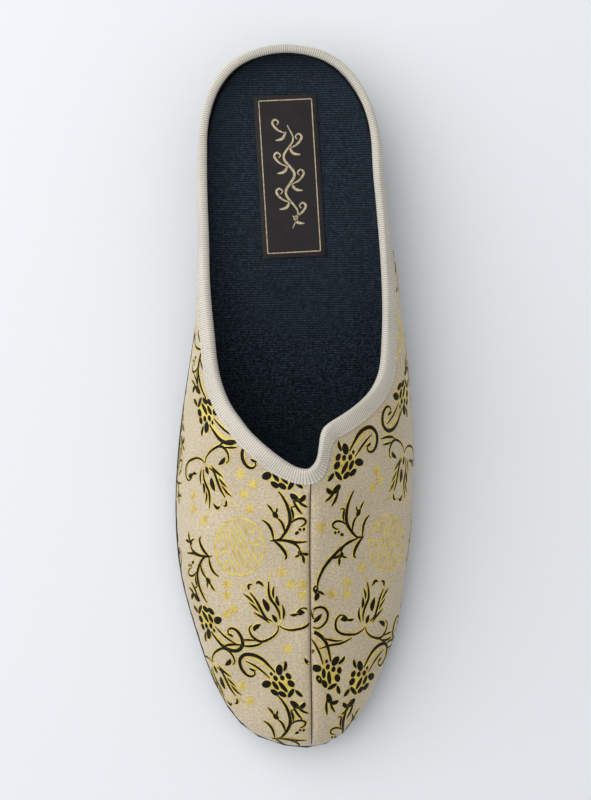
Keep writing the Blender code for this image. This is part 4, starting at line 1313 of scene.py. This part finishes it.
class SLIPPER_OT_seam(bpy.types.Operator):
    """Sew the two halves together along the centre seam"""

    bl_idname = "slipper.seam"
    bl_label = "Centre seam"

    def execute(self, context):
        sizes = context.scene.slipper_seam
        cloth = Cloth(context.scene)
        start, end = SEAM_ENDS[0], cloth.throat_run - SEAM_ENDS[1]
        line = np.arange(start - 1 * MM, end + 3 * MM, 1 * MM)
        # A dark strip in the thread's colour along the bottom of the seam's valley: partly the seam's dark
        # joint, partly painted shade of the valley
        edge, lift = np.full_like(line, sizes.strip), 0.05 * MM
        places = ((INNER, edge), (OUTER, edge * 0), (OUTER, edge))
        bm = grid_of(np.stack([cloth.place(side, line, reach, lift) for side, reach in places], axis=1))
        runs = np.linspace(start, end, round((end - start) / sizes.pitch) + 1)
        for run, after in zip(runs, runs[1:]):
            stitch = min(sizes.length, (after - run) * SEAM_STITCH)
            ends = cloth.place(OUTER, np.array((run, run + stitch)), np.zeros(2), sizes.lift)
            up = cloth.normals(OUTER, np.array((run,)), np.zeros(1))[0]
            add_stitch(bm, Vector(ends[0]), Vector(ends[1]), Vector(up), sizes.radius)
        piece = piece_of("seam_stitches", bm, [sewing_thread("seam_thread", sizes.thread)])
        return {"FINISHED"}


class SLIPPER_OT_insole(bpy.types.Operator):
    """Build the padded insole with its rows of pile"""

    bl_idname = "slipper.insole"
    bl_label = "Insole"

    def execute(self, context):
        sizes = context.scene.slipper_insole
        last = Last(context.scene.slipper_last)
        stations = last.stations(sizes.row_pitch / 3)
        open_part = smooth_step((OPEN_FROM[0] - stations) / OPEN_FROM[1])
        cup = sizes.cup * open_part
        inner, outer = (self.rim(last, side, stations, sizes, open_part) for side in (INNER, OUTER))
        top = self.top(inner[-1], outer[-1], cup, last.run_of(stations), sizes)
        bottom = [outer[0] * (1 - share) + inner[0] * share for share in (0.33, 0.67)]
        bm = grid_of(np.stack(outer[::-1] + bottom + inner + top + outer[-1:], axis=1))
        weld(bm)
        insole = piece_of("terry_insole", bm, [terry_pile(sizes)], 60)
        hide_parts("insole")
        return {"FINISHED"}

    def rim(self, last, side, stations, sizes, open_part):
        """One side's edge from underneath to the top, raised and leaning out where the slipper is open."""
        inset = sizes.inset + sizes.toe_setback * smooth_step((stations - TOE_FROM[0]) / TOE_FROM[1])
        under = last.sole_top(stations) + last.sizes.gap
        over = under + sizes.thickness + sizes.cup * open_part
        lean, edge = sizes.flare * open_part - inset, sizes.edge
        return [
            last.plan(side, stations, -inset, under),
            last.plan(side, stations, lean, over - edge),
            last.plan(side, stations, lean - edge * 0.3, over - edge * 0.3),
            last.plan(side, stations, lean - edge, over),
        ]

    def top(self, inner, outer, cup, runs, sizes):
        """The columns between the rims, with the rows of pile and their loose tufts."""
        rng = np.random.default_rng(4)
        wobble = np.interp(runs, np.linspace(0, runs[-1], 90), rng.uniform(-0.6, 0.6, 90))
        rows = 0.5 + 0.5 * np.cos(2 * np.pi * runs / sizes.row_pitch + wobble)
        width = np.linalg.norm(outer - inner, axis=1)
        from_heel = inner[-1, 1] - inner[:, 1] + 1e-6
        columns = []
        for share in np.arange(1, INSOLE_COLUMNS) / INSOLE_COLUMNS:
            point = inner * (1 - share) + outer * share
            tuft = rng.uniform(-1, 1, len(runs)) * 0.25
            from_side = np.minimum(share, 1 - share) * width + 1e-6
            to_rim = (from_side**-3 + from_heel**-3) ** (-1 / 3)
            rise = np.clip(1 - to_rim / sizes.cup_reach, 0, 1) ** 2
            point[:, 2] += cup * (rise - 1) + sizes.row_depth * (rows - 1 + tuft)
            columns.append(point)
        return columns


def patch_scroll():
    """A generic ornament in millimetres: one long scroll with leaves down the middle of the patch."""
    yield ((0.0, -19.0), (2.2, -13.0), (-1.8, -6.0), (1.8, 0.5), (-1.8, 7.0), (2.0, 13.0), (0.2, 18.5)), 0.9
    curl = ((0.6, 0.0), (3.4, 1.4), (5.2, 3.8), (4.2, 5.2), (2.9, 4.2), (3.6, 3.2))
    leaf = ((0.4, 0.6), (1.8, -1.8), (4.4, -2.4))
    for y, turn in ((-15.0, 1), (-9.5, -1), (-3.0, 1), (3.5, -1), (10.0, 1), (15.5, -1)):
        for shape, width in ((curl, 0.8), (leaf, 1.0)):
            yield [(across * turn, y + up) for across, up in shape], width


def flat_strip(bm, line, widths, on_patch, lift):
    """A thin strip along a line on the patch."""
    points = np.array(line)
    tangents = unit(np.gradient(points, axis=0))
    sides = np.column_stack([-tangents[:, 1], tangents[:, 0]])
    verts = bmesh.ops.create_grid(bm, x_segments=1, y_segments=len(points) - 1, size=1)["verts"]
    for i, (point, side, width) in enumerate(zip(points, sides, widths)):
        for k, sign in enumerate((-1, 1)):
            verts[i * 2 + k].co = on_patch(*(point + side * sign * width / 2), lift)


class SLIPPER_OT_patch(bpy.types.Operator):
    """Lay the plain patch in the heel with its gold frame line"""

    bl_idname = "slipper.patch"
    bl_label = "Heel patch"

    def execute(self, context):
        sizes = context.scene.slipper_patch
        last = Last(context.scene.slipper_last)
        insole_top = last.sizes.gap * 2 + context.scene.slipper_insole.thickness
        centre = last.place(sizes.along, sizes.across, 0.0)
        turn = Matrix.Rotation(sizes.turn, 2)

        def on_patch(x, y, lift):
            spot = turn @ Vector((x, y)) + Vector(centre[:2])
            along = 0.5 - (spot.y + last.sizes.middle_y) / last.sizes.length
            return Vector((*spot, float(last.sole_top(along)) + insole_top + lift))

        top = sizes.thickness - sizes.sunk
        bm = bmesh.new()
        bmesh.ops.create_grid(bm, x_segments=8, y_segments=20, size=0.5)
        for vert in bm.verts:
            vert.co = on_patch(vert.co.x * sizes.width, vert.co.y * sizes.length, top)
        bmesh.ops.recalc_face_normals(bm, faces=bm.faces)
        patch = piece_of("heel_patch", bm, [patch_cloth(sizes)], 40)
        thicken(patch, sizes.thickness)
        edge = patch.modifiers.new("edge", "BEVEL")
        edge.width = 0.15 * MM
        edge.segments = 2
        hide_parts("label_patch")
        self.gold_lines(sizes, on_patch, top + PRINT_LIFT)
        return {"FINISHED"}

    def gold_lines(self, sizes, on_patch, lift):
        """The gold frame line round the patch and a plain scroll between."""
        bm = bmesh.new()
        half_x = sizes.width / 2 - sizes.frame_inset
        half_y = sizes.length / 2 - sizes.frame_inset
        corners = np.array(((-half_x, -half_y), (half_x, -half_y), (half_x, half_y), (-half_x, half_y)))
        for start, end, steps in zip(corners, np.roll(corners, -1, axis=0), (10, 24, 10, 24)):
            line = start + (end - start) * np.linspace(0, 1, steps + 1)[:, None]
            flat_strip(bm, line, [sizes.frame_width] * len(line), on_patch, lift)
        for line, width in patch_scroll():
            line = smooth_line(np.array(line) * MM, 0.6 * MM)
            widths = width * MM * (0.35 + 0.65 * np.sin(np.pi * np.linspace(0, 1, len(line))))
            flat_strip(bm, line, widths, on_patch, lift + SCROLL_LIFT)
        bmesh.ops.recalc_face_normals(bm, faces=bm.faces)
        line = piece_of("patch_line", bm, [gold_print(sizes)], 40)


class SLIPPER_OT_sole(bpy.types.Operator):
    """Give the moulded sole its rubber"""

    bl_idname = "slipper.sole"
    bl_label = "Sole"

    def execute(self, context):
        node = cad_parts["outsole"]
        rubber = sole_rubber(context.scene.slipper_sole)
        for slot in node.material_slots:
            slot.material = rubber
        return {"FINISHED"}


class SLIPPER_OT_stage(bpy.types.Operator):
    """Set up the pale floor, the soft lights and the camera"""

    bl_idname = "slipper.stage"
    bl_label = "Stage"

    def execute(self, context):
        scene, sizes = context.scene, context.scene.slipper_stage
        bm = bmesh.new()
        bmesh.ops.create_grid(bm, x_segments=1, y_segments=1, size=sizes.floor / 2)
        mesh = bpy.data.meshes.new("floor")
        bm.to_mesh(mesh)
        bm.free()
        mesh.materials.append(floor_paint(sizes))
        floor = bpy.data.objects.new("floor", mesh)
        scene.collection.objects.link(floor)
        self.lights(scene, sizes)
        self.camera(scene, sizes)
        return {"FINISHED"}

    def lights(self, scene, sizes):
        """A white sky, a large key light and a small fill light."""
        world = bpy.data.worlds.new("studio")
        world.use_nodes = True
        background = world.node_tree.nodes["Background"]
        background.inputs["Color"].default_value = (*sizes.sky_colour, 1)
        background.inputs["Strength"].default_value = sizes.sky
        scene.world = world
        scene.view_settings.view_transform = "Standard"
        for name, place, width in LIGHTS:
            data = bpy.data.lights.new(name, "AREA")
            data.energy = getattr(sizes, name)
            data.size = width
            lamp = bpy.data.objects.new(name, data)
            lamp.location = place
            lamp.rotation_mode = "QUATERNION"
            lamp.rotation_quaternion = (-Vector(place)).to_track_quat("-Z", "Y")
            scene.collection.objects.link(lamp)

    def camera(self, scene, sizes):
        """The photo's camera: above the slipper and beside it, turned by the roll."""
        data = bpy.data.cameras.new("camera")
        data.lens = sizes.lens
        data.clip_start = 10 * MM
        camera = bpy.data.objects.new("camera", data)
        place = Vector(sizes.camera)
        forward = (Vector(CAMERA_TARGET) - place).normalized()
        right = forward.cross(Vector((-math.sin(sizes.roll), math.cos(sizes.roll), 0))).normalized()
        turn = Matrix((right, right.cross(forward), -forward)).transposed()
        camera.matrix_world = Matrix.Translation(place) @ turn.to_4x4()
        scene.collection.objects.link(camera)
        scene.camera = camera


# Each builder with the groups of sizes that the sidebar shows under it
BUILDERS = {
    SLIPPER_OT_upper: ("slipper_last", "slipper_brocade"),
    SLIPPER_OT_figures: (),
    SLIPPER_OT_seam: ("slipper_seam",),
    SLIPPER_OT_tape: ("slipper_tape",),
    SLIPPER_OT_insole: ("slipper_insole",),
    SLIPPER_OT_patch: ("slipper_patch",),
    SLIPPER_OT_sole: ("slipper_sole",),
    SLIPPER_OT_stage: ("slipper_stage",),
}

GROUPS = {
    "slipper_last": LastSizes,
    "slipper_brocade": BrocadeSizes,
    "slipper_seam": SeamSizes,
    "slipper_tape": TapeSizes,
    "slipper_insole": InsoleSizes,
    "slipper_patch": PatchSizes,
    "slipper_sole": SoleSizes,
    "slipper_stage": StageSizes,
}


class SLIPPER_PT_sidebar(bpy.types.Panel):
    """Sizes and builders of the slipper"""

    bl_idname = "SLIPPER_PT_sidebar"
    bl_label = "Slipper"
    bl_space_type = "VIEW_3D"
    bl_region_type = "UI"
    bl_category = "Slipper"

    def draw(self, context):
        for builder, groups in BUILDERS.items():
            box = self.layout.box()
            box.operator(builder.bl_idname)
            for group in groups:
                for name in GROUPS[group].__annotations__:
                    box.prop(getattr(context.scene, group), name)


CLASSES = (*GROUPS.values(), *BUILDERS, SLIPPER_PT_sidebar)


def register():
    for made in CLASSES:
        bpy.utils.register_class(made)
    for name, group in GROUPS.items():
        setattr(bpy.types.Scene, name, bpy.props.PointerProperty(type=group))


def unregister():
    for name in GROUPS:
        delattr(bpy.types.Scene, name)
    for made in reversed(CLASSES):
        bpy.utils.unregister_class(made)


def main():
    register()
    bpy.ops.slipper.upper()
    bpy.ops.slipper.figures()
    bpy.ops.slipper.seam()
    bpy.ops.slipper.tape()
    bpy.ops.slipper.insole()
    bpy.ops.slipper.patch()
    bpy.ops.slipper.sole()
    bpy.ops.slipper.stage()


if __name__ == "__main__":
    main()
